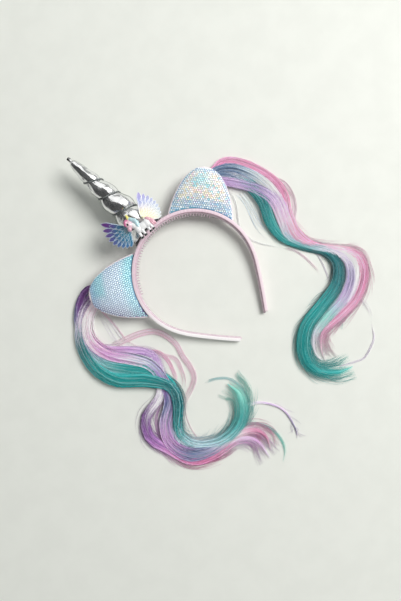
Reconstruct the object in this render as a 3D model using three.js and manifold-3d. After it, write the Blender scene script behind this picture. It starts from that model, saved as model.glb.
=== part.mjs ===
// A costume headband: a toothed hoop under a satin ribbon, a padded foil horn wound with cord,
// two sequined ears, a small cast unicorn with wings, and two falls of wavy hair.
// It lies on a table as it does when it is put down: the hoop on its edge, the hair spread out.
// Millimetres. +X right, +Y from the hoop's open end to the horn's tip, +Z up from the table.

import * as THREE from 'three';
import { mergeGeometries, mergeVertices } from 'three/addons/utils/BufferGeometryUtils.js';
import Module from 'manifold-3d';

const wasm = await Module();
wasm.setup();

const { degToRad } = THREE.MathUtils;

// Fits between pieces
const GAP = 0.3;

// Corners nearer to each other than this are one corner
const WELD = 0.004;

// Hoop: its centreline as three arcs on each side, from the crown's top to the tip
const CROWN_RADIUS = 60.8;
const CROWN_TURN = 111.4;
const TEMPLE_RADIUS = 88;
const TEMPLE_TURN = 12.5;
const TAIL_RADIUS = 600;
const TAIL_LENGTH = 51;
const BAND_WIDTH_CROWN = 12;
const BAND_WIDTH_TIP = 7;
const NARROWS_FROM = 0.5;
const CORE_THICK = 3.2;
const CORE_CORNER = 0.5;
const CORE_TIP_SHARE = 0.55;
const TIP_ROUND = 2;
const HOOP_STEPS = 42;

// Comb teeth inside the crown
const TOOTH_SPAN = 128;
const TOOTH_PITCH = 2.9;
const TOOTH_HEIGHT = 2.5;
const TOOTH_ROOT = 1.5;
const TOOTH_POINT = 0.6;
const TOOTH_WIDTH = 7;

// Ribbon over the outside of the hoop, turned over both edges
const RIBBON_THICK = 1.3;
const RIBBON_LIP = 2.2;
const RIBBON_SHORT = 1.5;

// Felt pad under the horn
const PAD_LENGTH = 38;
const PAD_WIDTH = 26;
const PAD_THICK = 1.2;
const PAD_END = 0.3;
const PAD_STEPS = 12;

// Horn, measured down from its tip
const HORN_LENGTH = 104;
const HORN_BASE_RADIUS = 18;
const HORN_OFFSET = -2;
const HORN_TAPER = 0.62;
const HORN_PITCH = 21;
const FIRST_GROOVE = 34;
const GROOVE_DEPTH = 0.25;
const GROOVE_SHARPNESS = 0.75;
const SPIRAL_START = 14;
const SPIRAL_FADE = 22;
const NUB_RADIUS = 1.8;
const NUB_LENGTH = 4.5;
const NUB_BLEND = 3;
const NUB_ROUND = 0.8;
const HORN_SIDES = 18;
const ROWS_PER_PITCH = 10;
const HORN_SKIRT = 4;

// Cord wound in the horn's groove
const CORD_RADIUS = 0.65;
const CORD_START = 26;
const CORD_END_SHORT = 6;
const CORD_SEAT = 0.5;
const CORD_STEPS_PER_TURN = 12;
const CORD_SIDES = 5;

// Ears, each of two panels that meet in a seam
const EAR_WIDTH = 66.5;
const LEFT_EAR_HEIGHT = 45;
const RIGHT_EAR_HEIGHT = 42;
const LEFT_EAR_ANGLE = 55.5;
const RIGHT_EAR_ANGLE = 53;
const EAR_PUFF = 6.5;
const EAR_EDGE = 1;
const EAR_TAPER = 1.4;
const EAR_ROUNDNESS = 0.5;
const EAR_FOOT = 0.7;
const EAR_COLUMNS = 8;
const EAR_ROWS = 7;

// Charm in front of the horn's foot: a cast unicorn before a pair of cast wings
const CHARM_OFFSET = -4;
const CHARM_FOOT = 59.5;
const CHARM_TURN = -8;
const CHARM_LEAN = 6;
const CHARM_FRONT = 60;
const WING_OFFSET = -3;
const WING_ROOT_OUT = 9;
const WING_ROOT_UP = 17;
const LEFT_WING = { reachTop: 28.3, reachLow: 17.8, fanTop: 50, fanLow: -61 };
const RIGHT_WING = { reachTop: 26.1, reachLow: 19, fanTop: 60, fanLow: -33 };
const WING_REACH_FALL = 0.7;
const WING_THICK = 1.1;
const WING_SWEEP = 8;
const FEATHER_WIDTH = 6.4;
const FIGURE_HEIGHT = 25;
const FIGURE_SIDES = 6;
const FIGURE_ROWS = 4;

// Hair falls: routes run from a felt patch behind each ear
const FALL_DROP = 200;
const LOCK_BREADTH = 12;
const LOCK_FLATNESS = 0.5;
const LOCK_THICK_MIN = 2.2;
const LOCK_THICK_MAX = 6.5;
const LOCK_LIFT = 0.06;
const LOCK_SIDES = 6;
const LOCK_STEPS = 24;
const ROOT_RUN = 42;
const ROOT_THICK = 3.4;
const PATCH_ACROSS = 0.42;
const PATCH_FROM = 14.3;
const PATCH_TO = 31.9;
const PATCH_THICK = 2.5;
const PATCH_MIDDLE = 23.1;

// Layers of a wing's feathers, from the longest at the back to the coverts in front.
// reach and width are shares of the wing's reach and of a feather's width, thick of its thickness.
const FEATHER_LAYERS = [
  { count: 9, reach: 1, width: 1, thick: 1 },
  { count: 7, reach: 0.68, width: 0.95, thick: 1.6 },
  { count: 5, reach: 0.42, width: 0.95, thick: 2.2 },
];

// Half of a feather's outline: shares of its length and of its half width
const FEATHER_OUTLINE = [
  { along: 0, half: 0.45 },
  { along: 0.4, half: 0.9 },
  { along: 0.8, half: 0.85 },
];

// Rounded masses of the unicorn, which faces left: places and half sizes as shares of its height
const FIGURE_MASSES = [
  { x: 0.05, y: 0.38, wide: 0.3, high: 0.17, deep: 0.11, turn: 0 },
  { x: -0.17, y: 0.4, wide: 0.14, high: 0.18, deep: 0.12, turn: 0 },
  { x: 0.24, y: 0.37, wide: 0.15, high: 0.18, deep: 0.12, turn: 0 },
  { x: -0.21, y: 0.58, wide: 0.12, high: 0.22, deep: 0.11, turn: 20 },
  { x: -0.34, y: 0.75, wide: 0.155, high: 0.165, deep: 0.14, turn: 0 },
  { x: -0.43, y: 0.58, wide: 0.1, high: 0.12, deep: 0.11, turn: -25 },
  { x: -0.25, y: 0.91, wide: 0.045, high: 0.085, deep: 0.05, turn: -10 },
  { x: -0.41, y: 0.89, wide: 0.1, high: 0.09, deep: 0.1, turn: 20 },
  { x: -0.09, y: 0.71, wide: 0.11, high: 0.26, deep: 0.13, turn: 16 },
  { x: 0.42, y: 0.35, wide: 0.1, high: 0.26, deep: 0.1, turn: 18 },
];
const FIGURE_MIDDLE = 0.08;
const FIGURE_LEGS = [-0.24, -0.07, 0.17, 0.31];
const FIGURE_LEG = { top: 0.32, radius: 0.058, slim: 0.85, hoofHigh: 0.065, hoofRadius: 0.07 };
const FIGURE_HORN = { x: -0.21, y: 1.03, high: 0.28, radius: 0.06, turn: -6 };

// Locks of the falls. Columns: across and along from the root as shares of the fall's drop,
// and breadth as a share of a lock's breadth.
const LEFT_LOCKS = [
  {
    rooted: true, // teal
    rows: [
      [-0.1, 0.06, 0.65], [-0.205, 0.03, 0.8], [-0.3, -0.06, 0.95], [-0.345, -0.2, 1],
      [-0.315, -0.325, 1.05], [-0.215, -0.435, 1.05], [-0.155, -0.55, 0.75], [-0.2, -0.64, 0.85],
      [-0.3, -0.73, 0.6], [-0.29, -0.84, 0.6], [-0.18, -0.93, 0.75], [-0.04, -0.93, 1],
      [0.05, -0.84, 1.1], [0.05, -0.755, 0.4],
    ],
  },
  {
    rooted: true, // purple
    rows: [
      [-0.06, 0.1, 0.4], [-0.15, 0.085, 0.65], [-0.24, 0.01, 0.75], [-0.275, -0.08, 0.75],
      [-0.24, -0.18, 0.75], [-0.155, -0.275, 0.7], [-0.1, -0.365, 0.6], [-0.135, -0.46, 0.6],
      [-0.23, -0.535, 0.7], [-0.355, -0.56, 0.75], [-0.42, -0.645, 0.8], [-0.4, -0.76, 0.75],
      [-0.36, -0.89, 0.75], [-0.24, -0.955, 0.75], [-0.13, -0.98, 0.6], [-0.065, -1.06, 0.6],
      [-0.085, -1.175, 0.25],
    ],
  },
  {
    rooted: true, // pink
    rows: [
      [-0.11, 0.02, 0.7], [-0.2, -0.01, 1], [-0.255, -0.09, 1.1], [-0.245, -0.2, 1],
      [-0.18, -0.31, 1], [-0.14, -0.4, 0.9], [-0.16, -0.51, 0.85], [-0.22, -0.6, 0.85],
      [-0.32, -0.655, 1], [-0.37, -0.75, 1.15], [-0.34, -0.86, 1.1], [-0.24, -0.93, 0.75],
      [-0.13, -0.955, 0.65], [-0.04, -1.005, 0.65], [-0.015, -1.075, 0.6], [-0.05, -1.145, 0.25],
    ],
  },
  {
    rooted: true, // pale
    rows: [
      [-0.13, 0.05, 0.65], [-0.24, -0.01, 0.9], [-0.3, -0.12, 1], [-0.3, -0.22, 1.1],
      [-0.24, -0.32, 1], [-0.17, -0.42, 0.85], [-0.145, -0.52, 0.7], [-0.18, -0.61, 0.8],
      [-0.27, -0.68, 0.9], [-0.335, -0.76, 1], [-0.33, -0.84, 1], [-0.26, -0.9, 0.8],
      [-0.165, -0.94, 0.4],
    ],
  },
  {
    rooted: false, // thin stray lock, which leaves the teal one
    rows: [
      [-0.015, -0.915, 0.3], [0.05, -0.915, 0.3], [0.11, -0.97, 0.3], [0.145, -1.06, 0.3],
      [0.12, -1.16, 0.25], [0.085, -1.21, 0.2],
    ],
  },
];
const RIGHT_LOCKS = [
  {
    rooted: true, // pink
    rows: [
      [0.08, 0.02, 0.45], [0.175, 0.01, 0.65], [0.24, -0.09, 0.75], [0.275, -0.23, 0.7],
      [0.25, -0.33, 1], [0.17, -0.42, 1.1], [0.135, -0.52, 1], [0.17, -0.63, 0.5],
      [0.24, -0.73, 0.6], [0.28, -0.82, 0.75], [0.23, -0.91, 0.75], [0.115, -0.965, 0.65],
      [-0.01, -0.965, 0.6], [-0.13, -0.955, 0.5], [-0.205, -1.01, 0.4], [-0.235, -1.07, 0.25],
    ],
  },
  {
    rooted: true, // teal
    rows: [
      [0.08, 0.01, 0.65], [0.15, -0.07, 0.85], [0.17, -0.18, 0.95], [0.155, -0.28, 1],
      [0.105, -0.37, 0.9], [0.085, -0.47, 0.7], [0.12, -0.57, 0.5], [0.18, -0.68, 0.6],
      [0.18, -0.77, 0.9], [0.1, -0.84, 1.1], [-0.035, -0.86, 1.15], [-0.18, -0.88, 1.15],
      [-0.28, -0.965, 1.1], [-0.295, -1.06, 1], [-0.235, -1.145, 0.85], [-0.16, -1.185, 0.35],
    ],
  },
  {
    rooted: true, // lilac
    rows: [
      [0.07, -0.03, 0.65], [0.13, -0.11, 0.75], [0.18, -0.21, 0.85], [0.195, -0.31, 0.9],
      [0.15, -0.41, 0.85], [0.11, -0.49, 0.65], [0.14, -0.59, 0.5], [0.2, -0.7, 0.6],
      [0.225, -0.79, 0.65], [0.17, -0.87, 0.85], [0.06, -0.915, 0.85], [-0.07, -0.915, 0.85],
      [-0.18, -0.93, 0.65], [-0.24, -1, 0.5], [-0.24, -1.05, 0.25],
    ],
  },
  {
    rooted: true, // white
    rows: [
      [0.08, 0.02, 0.5], [0.17, -0.03, 0.7], [0.22, -0.14, 0.75], [0.23, -0.25, 0.75],
      [0.205, -0.35, 0.85], [0.155, -0.45, 0.8], [0.13, -0.54, 0.6], [0.18, -0.65, 0.5],
      [0.235, -0.75, 0.65], [0.245, -0.83, 0.7], [0.19, -0.89, 0.7], [0.08, -0.935, 0.6],
      [-0.06, -0.94, 0.35],
    ],
  },
];

// Surfaces that the pieces seat on, measured from the crown's centre
const CORE_OUTER = CROWN_RADIUS + CORE_THICK / 2;
const RIBBON_OUTER = CORE_OUTER + GAP + RIBBON_THICK;
const PAD_OUTER = RIBBON_OUTER + GAP + PAD_THICK;
const HORN_SEAT = PAD_OUTER + GAP;
const EAR_SEAT = RIBBON_OUTER + GAP;
const HORN_TIP = HORN_SEAT + HORN_LENGTH;

const HOOP_ARCS = [
  { radius: CROWN_RADIUS, length: CROWN_RADIUS * degToRad(CROWN_TURN) },
  { radius: TEMPLE_RADIUS, length: TEMPLE_RADIUS * degToRad(TEMPLE_TURN) },
  { radius: TAIL_RADIUS, length: TAIL_LENGTH },
];
const HALF_HOOP = HOOP_ARCS.reduce((sum, arc) => sum + arc.length, 0);

// Helpers that turn three.js geometry into closed solids

function moved(geometry, place) {
  const position = geometry.attributes.position;
  const point = new THREE.Vector3();
  for (let i = 0; i < position.count; i += 1) {
    place(point.fromBufferAttribute(position, i));
    position.setXYZ(i, point.x, point.y, point.z);
  }
  return geometry;
}

function sixfoldVolume(position, index) {
  const corners = [0, 1, 2].map(() => new THREE.Vector3());
  let total = 0;
  for (let i = 0; i < index.length; i += 3) {
    corners.forEach((corner, k) => corner.fromBufferAttribute(position, index[i + k]));
    total += corners[0].dot(corners[1].cross(corners[2]));
  }
  return total;
}

// Merges shared vertices, drops collapsed triangles and turns every face outwards
function closed(geometry) {
  geometry.deleteAttribute('normal');
  geometry.deleteAttribute('uv');
  const merged = mergeVertices(geometry, WELD);
  const index = [];
  for (let i = 0; i < merged.index.count; i += 3) {
    const [a, b, c] = [0, 1, 2].map((k) => merged.index.getX(i + k));
    if (a !== b && b !== c && c !== a) index.push(a, b, c);
  }
  if (sixfoldVolume(merged.attributes.position, index) < 0) index.reverse();
  merged.setIndex(index);
  return merged;
}

function solid(geometry) {
  const whole = closed(geometry);
  return new wasm.Manifold(new wasm.Mesh({
    numProp: 3,
    vertProperties: new Float32Array(whole.attributes.position.array),
    triVerts: new Uint32Array(whole.index.array),
  }));
}

function joined(solids) {
  return solids.reduce((whole, next) => whole.add(next));
}

function geometryOf(manifold) {
  const mesh = manifold.getMesh();
  const geometry = new THREE.BufferGeometry();
  geometry.setAttribute('position', new THREE.BufferAttribute(mesh.vertProperties, 3));
  geometry.setIndex(new THREE.BufferAttribute(mesh.triVerts, 1));
  return closed(geometry);
}

// Extrudes an outline in even steps and places each point of each step by a function
function bent(outline, steps, place) {
  const options = { depth: 1, steps, bevelEnabled: false };
  const straight = new THREE.ExtrudeGeometry(new THREE.Shape(outline), options);
  return moved(straight, (point) => place(point, Math.round(point.z * steps)));
}

function polygon(sides, radius, firstAngle) {
  const corners = [];
  for (let i = 0; i < sides; i += 1) {
    const angle = firstAngle + (2 * Math.PI * i) / sides;
    corners.push(new THREE.Vector2(radius * Math.cos(angle), radius * Math.sin(angle)));
  }
  return corners;
}

function eased(value) {
  return THREE.MathUtils.smoothstep(value, 0, 1);
}

// Hoop

// Where the hoop's centreline is at a distance from the crown's top, to the right or left (minus)
function hoopAt(distance) {
  const side = Math.sign(distance) || 1;
  let left = Math.abs(distance);
  let turned = 0;
  const at = new THREE.Vector2(0, CROWN_RADIUS);
  const inward = (angle) => new THREE.Vector2(-Math.sin(angle), -Math.cos(angle));
  for (const arc of HOOP_ARCS) {
    const run = arc === HOOP_ARCS.at(-1) ? left : Math.min(left, arc.length);
    const centre = at.clone().addScaledVector(inward(turned), arc.radius);
    turned += run / arc.radius;
    at.copy(centre).addScaledVector(inward(turned), -arc.radius);
    left -= run;
    if (left <= 0) break;
  }
  const outward = inward(turned).negate();
  at.x *= side;
  outward.x *= side;
  return { at, outward };
}

function bandWidthAt(distance) {
  const straightRun = HALF_HOOP - HOOP_ARCS[0].length * NARROWS_FROM;
  const share = (HALF_HOOP - Math.abs(distance)) / straightRun;
  return THREE.MathUtils.lerp(BAND_WIDTH_TIP, BAND_WIDTH_CROWN, eased(share));
}

// Stations along the hoop, with one more close to each end for the rounded tips
function hoopStations(halfLength, endRun) {
  const stations = [-halfLength];
  const straight = halfLength - endRun;
  for (let i = 0; i <= HOOP_STEPS - 2; i += 1) {
    stations.push(-straight + (2 * straight * i) / (HOOP_STEPS - 2));
  }
  stations.push(halfLength);
  return stations;
}

function alongHoop(outline, halfLength, endRun, sectionAt) {
  const stations = hoopStations(halfLength, endRun);
  return bent(outline, HOOP_STEPS, (point, step) => {
    const { at, outward } = hoopAt(stations[step]);
    const { off, up } = sectionAt(point, stations[step], step === 0 || step === HOOP_STEPS);
    point.set(at.x + outward.x * off, at.y + outward.y * off, up);
  });
}

function coreHalfWidth(distance) {
  return bandWidthAt(distance) / 2 - RIBBON_THICK - GAP;
}

function coreBar() {
  const corner = CORE_CORNER / (CORE_THICK / 2);
  const outline = [
    [1, 1 - corner], [1 - corner, 1], [corner - 1, 1], [-1, 1 - corner],
    [-1, corner - 1], [corner - 1, -1], [1 - corner, -1], [1, corner - 1],
  ].map(([x, y]) => new THREE.Vector2(x, y));
  return alongHoop(outline, HALF_HOOP, TIP_ROUND, (point, distance, isEnd) => {
    const share = isEnd ? CORE_TIP_SHARE : 1;
    const upEdge = coreHalfWidth(distance) - CORE_CORNER;
    const up = Math.abs(point.y) === 1 ? coreHalfWidth(distance) : upEdge;
    return { off: (point.x * CORE_THICK * share) / 2, up: Math.sign(point.y) * up * share };
  });
}

function tooth(distance) {
  const { at, outward } = hoopAt(distance);
  const length = TOOTH_HEIGHT + CORE_THICK / 2;
  const wedge = new THREE.CylinderGeometry(TOOTH_POINT, TOOTH_ROOT, length, 4, 1);
  wedge.rotateY(Math.PI / 4);
  wedge.scale(Math.SQRT1_2, 1, (Math.SQRT1_2 * TOOTH_WIDTH) / TOOTH_ROOT);
  wedge.translate(0, length / 2, 0);
  wedge.rotateZ(Math.atan2(outward.x, -outward.y));
  wedge.translate(at.x, at.y, 0);
  return solid(wedge);
}

function bandCore() {
  const halfSpan = (CROWN_RADIUS * degToRad(TOOTH_SPAN)) / 2;
  const teeth = [];
  for (let distance = -halfSpan; distance <= halfSpan; distance += TOOTH_PITCH) {
    teeth.push(tooth(distance));
  }
  return geometryOf(joined([solid(coreBar()), ...teeth]));
}

// Ribbon section: a wall outside the core with a lip over each edge
function ribbonCover() {
  const wallIn = CORE_THICK / 2 + GAP;
  const wallOut = wallIn + RIBBON_THICK;
  const lip = wallIn - RIBBON_LIP;
  const round = RIBBON_THICK / 2;
  const outline = [
    [lip, 1], [wallOut - round, 1], [wallOut, 0.9], [wallOut, -0.9], [wallOut - round, -1],
    [lip, -1], [lip, -0.8], [wallIn, -0.8], [wallIn, 0.8], [lip, 0.8],
  ].map(([x, y]) => new THREE.Vector2(x, y));
  const levels = new Map([[1, 0], [0.9, round], [0.8, RIBBON_THICK]]);
  return closed(alongHoop(outline, HALF_HOOP - RIBBON_SHORT, TIP_ROUND, (point, distance) => {
    const level = Math.round(Math.abs(point.y) * 10) / 10;
    const up = bandWidthAt(distance) / 2 - levels.get(level);
    return { off: point.x, up: Math.sign(point.y) * up };
  }));
}

// Felt pad bent over the crown, oval when it is laid flat
function hornPad() {
  const outline = [[0, -1], [1, -1], [1, 1], [0, 1]].map(([x, y]) => new THREE.Vector2(x, y));
  return closed(bent(outline, PAD_STEPS, (point, step) => {
    const share = (2 * step) / PAD_STEPS - 1;
    const angle = (share * PAD_LENGTH) / 2 / PAD_OUTER + HORN_OFFSET / PAD_OUTER;
    const radius = RIBBON_OUTER + GAP + point.x * PAD_THICK;
    const half = (PAD_WIDTH / 2) * THREE.MathUtils.lerp(PAD_END, 1, Math.sqrt(1 - share * share));
    point.set(radius * Math.sin(angle), radius * Math.cos(angle), point.y * half);
  }));
}

// Horn

function hornRadius(down, angle) {
  const taper = HORN_BASE_RADIUS * (down / HORN_LENGTH) ** HORN_TAPER;
  const phase = (down - FIRST_GROOVE) / HORN_PITCH - angle / (2 * Math.PI);
  const puff = Math.abs(Math.sin(Math.PI * phase)) ** GROOVE_SHARPNESS;
  const depth = GROOVE_DEPTH * eased((down - SPIRAL_START) / SPIRAL_FADE);
  const body = taper * (1 - depth * (1 - puff));
  const nub = NUB_RADIUS * Math.min(1, Math.sqrt(down / NUB_ROUND));
  return THREE.MathUtils.lerp(nub, body, eased((down - NUB_LENGTH) / NUB_BLEND));
}

function onHorn(down, angle, out) {
  const radius = hornRadius(down, angle) + out;
  const x = HORN_OFFSET + radius * Math.sin(angle);
  return new THREE.Vector3(x, HORN_TIP - down, radius * Math.cos(angle));
}

// The groove's bottom, a left-handed screw round the horn, at a height above the surface
function grooveRoute(out) {
  const points = [];
  const turns = (HORN_LENGTH - CORD_END_SHORT - CORD_START) / HORN_PITCH;
  const steps = Math.round(turns * CORD_STEPS_PER_TURN);
  for (let i = 0; i <= steps; i += 1) {
    const down = CORD_START + ((HORN_LENGTH - CORD_END_SHORT - CORD_START) * i) / steps;
    const angle = (2 * Math.PI * (down - FIRST_GROOVE)) / HORN_PITCH;
    points.push(onHorn(down, angle, out));
  }
  return { route: new THREE.CatmullRomCurve3(points), steps };
}

// Rows of the horn's surface climb with the groove, so that one of them is the groove's bottom.
// The sheet is wrapped round until each row's end meets the row one pitch further on.
function hornBody() {
  const full = HORN_LENGTH + HORN_SKIRT;
  const rowStep = HORN_PITCH / ROWS_PER_PITCH;
  const firstRow = -Math.ceil((FIRST_GROOVE + HORN_PITCH / 2) / rowStep);
  const lastRow = Math.ceil((full + HORN_PITCH / 2 - FIRST_GROOVE) / rowStep);
  const rows = lastRow - firstRow;
  const sides = moved(new THREE.PlaneGeometry(1, rows, HORN_SIDES, rows), (point) => {
    const turn = 2 * Math.PI * point.x;
    const row = firstRow + Math.round(rows / 2 - point.y);
    const down = FIRST_GROOVE + row * rowStep + HORN_PITCH * point.x;
    point.copy(onHorn(THREE.MathUtils.clamp(down, 0, full), turn, 0));
  });
  const foot = moved(new THREE.CircleGeometry(1, HORN_SIDES), (point) => {
    const edge = onHorn(full, -Math.atan2(point.y, point.x), 0);
    const reach = Math.round(point.length());
    point.set(HORN_OFFSET, edge.y, 0).lerp(edge, reach);
  });
  return mergeGeometries([sides, foot]);
}

function horn() {
  const seat = new THREE.CylinderGeometry(HORN_SEAT, HORN_SEAT, 4 * HORN_BASE_RADIUS, 120);
  seat.rotateX(Math.PI / 2);
  return geometryOf(solid(hornBody()).subtract(solid(seat)));
}

function hornCord() {
  const { route, steps } = grooveRoute(CORD_RADIUS + CORD_SEAT);
  const section = new THREE.Shape(polygon(CORD_SIDES, CORD_RADIUS, 0));
  const options = { steps, extrudePath: route, bevelEnabled: false };
  return closed(new THREE.ExtrudeGeometry(section, options));
}

// Ears, in a frame whose origin is the crown's centre and whose +Y is the ear's own axis

// across runs from -1 to 1 between the sides, rise from 0 at the foot to 1 at the top
function onEar(height, across, rise) {
  const half = (EAR_WIDTH / 2) * (1 - rise ** EAR_TAPER) ** EAR_ROUNDNESS;
  const x = across * half;
  const foot = Math.sqrt(EAR_SEAT * EAR_SEAT - x * x);
  const y = foot + rise * (EAR_SEAT + height - foot);
  const swell = (EAR_FOOT + (1 - EAR_FOOT) * Math.sin(Math.PI * rise)) * Math.sqrt(1 - rise ** 4);
  const thick = EAR_EDGE + (EAR_PUFF - EAR_EDGE) * swell * Math.sqrt(1 - across * across);
  return { x, y, thick };
}

function earPanel(height, side) {
  const block = new THREE.BoxGeometry(1, 1, 1, EAR_COLUMNS, EAR_ROWS, 1);
  return closed(moved(block, (point) => {
    const rise = Math.sin((Math.PI / 2) * (point.y + 0.5));
    const { x, y, thick } = onEar(height, 2 * point.x, rise);
    point.set(x, y, side * (point.z > 0 ? GAP / 2 + thick : GAP / 2));
  }));
}

// Felt patch that carries a fall's roots on the back of an ear
function hairPatch(height) {
  const block = new THREE.BoxGeometry(1, 1, 1, 4, 3, 1);
  return moved(block, (point) => {
    const rise = THREE.MathUtils.lerp(PATCH_FROM, PATCH_TO, point.y + 0.5) / height;
    const { x, y, thick } = onEar(height, 2 * point.x * PATCH_ACROSS, rise);
    point.set(x, y, -(GAP / 2 + thick + GAP + (point.z > 0 ? 0 : PATCH_THICK)));
  });
}

function patchMiddle(height) {
  const { y, thick } = onEar(height, 0, PATCH_MIDDLE / height);
  return new THREE.Vector3(0, y, -(GAP / 2 + thick + GAP + PATCH_THICK));
}

// Charm

function feather(length, width, thick, angle, side) {
  const upper = FEATHER_OUTLINE.map(({ along, half }) => [along * length, (half * width) / 2]);
  const lower = upper.map(([x, y]) => [x, -y]).reverse();
  const outline = [...upper, [length, 0], ...lower].map(([x, y]) => new THREE.Vector2(x, y));
  const leaf = new THREE.ExtrudeGeometry(new THREE.Shape(outline), {
    depth: thick, steps: 1, bevelEnabled: false,
  });
  leaf.rotateZ(angle);
  leaf.translate(WING_ROOT_OUT, WING_ROOT_UP, 0);
  leaf.scale(side, 1, 1);
  return solid(leaf);
}

function wing(side, { reachTop, reachLow, fanTop, fanLow }) {
  const feathers = [];
  FEATHER_LAYERS.forEach(({ count, reach, width, thick }) => {
    for (let i = 0; i < count; i += 1) {
      const share = i / (count - 1);
      const angle = degToRad(THREE.MathUtils.lerp(fanTop, fanLow, share));
      const length = reach * THREE.MathUtils.lerp(reachTop, reachLow, share ** WING_REACH_FALL);
      feathers.push(feather(length, FEATHER_WIDTH * width, WING_THICK * thick, angle, side));
    }
  });
  const root = new THREE.CylinderGeometry(1, 1, WING_THICK * FEATHER_LAYERS.at(-1).thick, 10);
  root.rotateX(Math.PI / 2);
  root.scale(WING_ROOT_OUT - GAP, WING_ROOT_UP / 2, 1);
  root.translate(side * WING_ROOT_OUT, WING_ROOT_UP, (WING_THICK * FEATHER_LAYERS.at(-1).thick) / 2);
  feathers.push(solid(root));
  return geometryOf(joined(feathers));
}

function figureMass({ x, y, wide, high, deep, turn }) {
  const mass = new THREE.SphereGeometry(FIGURE_HEIGHT, FIGURE_SIDES, FIGURE_ROWS);
  mass.scale(wide, high, deep);
  mass.rotateZ(degToRad(turn));
  mass.translate(x * FIGURE_HEIGHT, y * FIGURE_HEIGHT, FIGURE_MIDDLE * FIGURE_HEIGHT);
  return solid(mass);
}

function figureLeg(x) {
  const { top, radius, slim, hoofHigh, hoofRadius } = FIGURE_LEG;
  const leg = new THREE.CylinderGeometry(radius, radius * slim, top, FIGURE_SIDES);
  leg.translate(x, top / 2, FIGURE_MIDDLE);
  leg.scale(FIGURE_HEIGHT, FIGURE_HEIGHT, FIGURE_HEIGHT);
  const hoof = new THREE.CylinderGeometry(radius, hoofRadius, hoofHigh, FIGURE_SIDES);
  hoof.translate(x, hoofHigh / 2, FIGURE_MIDDLE);
  hoof.scale(FIGURE_HEIGHT, FIGURE_HEIGHT, FIGURE_HEIGHT);
  return solid(leg).add(solid(hoof));
}

function figureHorn() {
  const { x, y, high, radius, turn } = FIGURE_HORN;
  const spike = new THREE.ConeGeometry(radius, high, FIGURE_SIDES);
  spike.rotateZ(degToRad(turn));
  spike.translate(x, y, FIGURE_MIDDLE);
  spike.scale(FIGURE_HEIGHT, FIGURE_HEIGHT, FIGURE_HEIGHT);
  return solid(spike);
}

// A cast figure with a flat back
function charmFigure() {
  const whole = joined([
    ...FIGURE_MASSES.map(figureMass),
    ...FIGURE_LEGS.map(figureLeg),
    figureHorn(),
  ]);
  const behind = new THREE.BoxGeometry(4 * FIGURE_HEIGHT, 4 * FIGURE_HEIGHT, FIGURE_HEIGHT);
  behind.translate(0, 0, -FIGURE_HEIGHT / 2);
  return geometryOf(whole.subtract(solid(behind)));
}

// How far forward the wings' flat back has to stand to clear the horn's front
function charmSeat() {
  let seat = 0;
  const slope = Math.tan(degToRad(CHARM_LEAN));
  for (let down = HORN_LENGTH - 2 * WING_ROOT_UP; down <= HORN_LENGTH + HORN_SKIRT; down += 1) {
    for (let angle = -CHARM_FRONT; angle <= CHARM_FRONT; angle += 5) {
      const point = onHorn(down, degToRad(angle), 0);
      seat = Math.max(seat, point.z + slope * (point.y - CHARM_FOOT));
    }
  }
  return seat + GAP;
}

// Hair falls

// A lock's centre points on the table, with a breadth for each
function lockRoute({ rooted, rows }, root) {
  const route = rows.map(([across, along, breadth]) => ({
    x: root.x + across * FALL_DROP,
    y: root.y + along * FALL_DROP,
    breadth: breadth * LOCK_BREADTH,
  }));
  if (rooted) route.unshift({ x: root.x, y: root.y, breadth: route[0].breadth });
  return route;
}

function lockThickness(breadth) {
  return THREE.MathUtils.clamp(breadth * LOCK_FLATNESS, LOCK_THICK_MIN, LOCK_THICK_MAX);
}

// A flat tube with a level underside, which comes down from the root and then lies on the table
function lock(entry, root, order) {
  const route = lockRoute(entry, root);
  const flat = Math.cos(Math.PI / LOCK_SIDES);
  let run = 0;
  const points = route.map((row, i) => {
    if (i > 0) run += Math.hypot(row.x - route[i - 1].x, row.y - route[i - 1].y);
    const lying = (lockThickness(row.breadth) / 2) * flat + LOCK_LIFT * order;
    const hanging = entry.rooted ? Math.max(0, 1 - run / ROOT_RUN) ** 2 : 0;
    return new THREE.Vector3(row.x, row.y, THREE.MathUtils.lerp(lying, root.z, hanging));
  });
  const curve = new THREE.CatmullRomCurve3(points);
  const steps = entry.rooted ? LOCK_STEPS : LOCK_STEPS / 2;
  const unit = polygon(LOCK_SIDES, 1, 0);
  return solid(bent(unit, steps, (point, step) => {
    const share = (step / steps) * (route.length - 1);
    const row = Math.min(Math.floor(share), route.length - 2);
    const here = route[row].breadth;
    const breadth = THREE.MathUtils.lerp(here, route[row + 1].breadth, share - row);
    const atRoot = entry.rooted && row === 0;
    const thick = atRoot ? ROOT_THICK : lockThickness(breadth);
    const centre = curve.getPoint(step / steps);
    const ahead = curve.getTangent(step / steps);
    const across = new THREE.Vector3(-ahead.y, ahead.x, 0).normalize();
    const half = point.x * (breadth / 2);
    const up = point.y * (thick / 2);
    const floor = atRoot ? 0 : LOCK_LIFT * order;
    point.copy(centre).addScaledVector(across, half);
    point.z = Math.max(floor, centre.z + up);
  }));
}

function hairFall(locks, root, patch) {
  const bundle = locks.map((entry, order) => lock(entry, root, order));
  return geometryOf(joined([patch, ...bundle]));
}

// Materials

function finish(color, roughness, metalness) {
  return new THREE.MeshStandardMaterial({ color, roughness, metalness });
}

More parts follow.
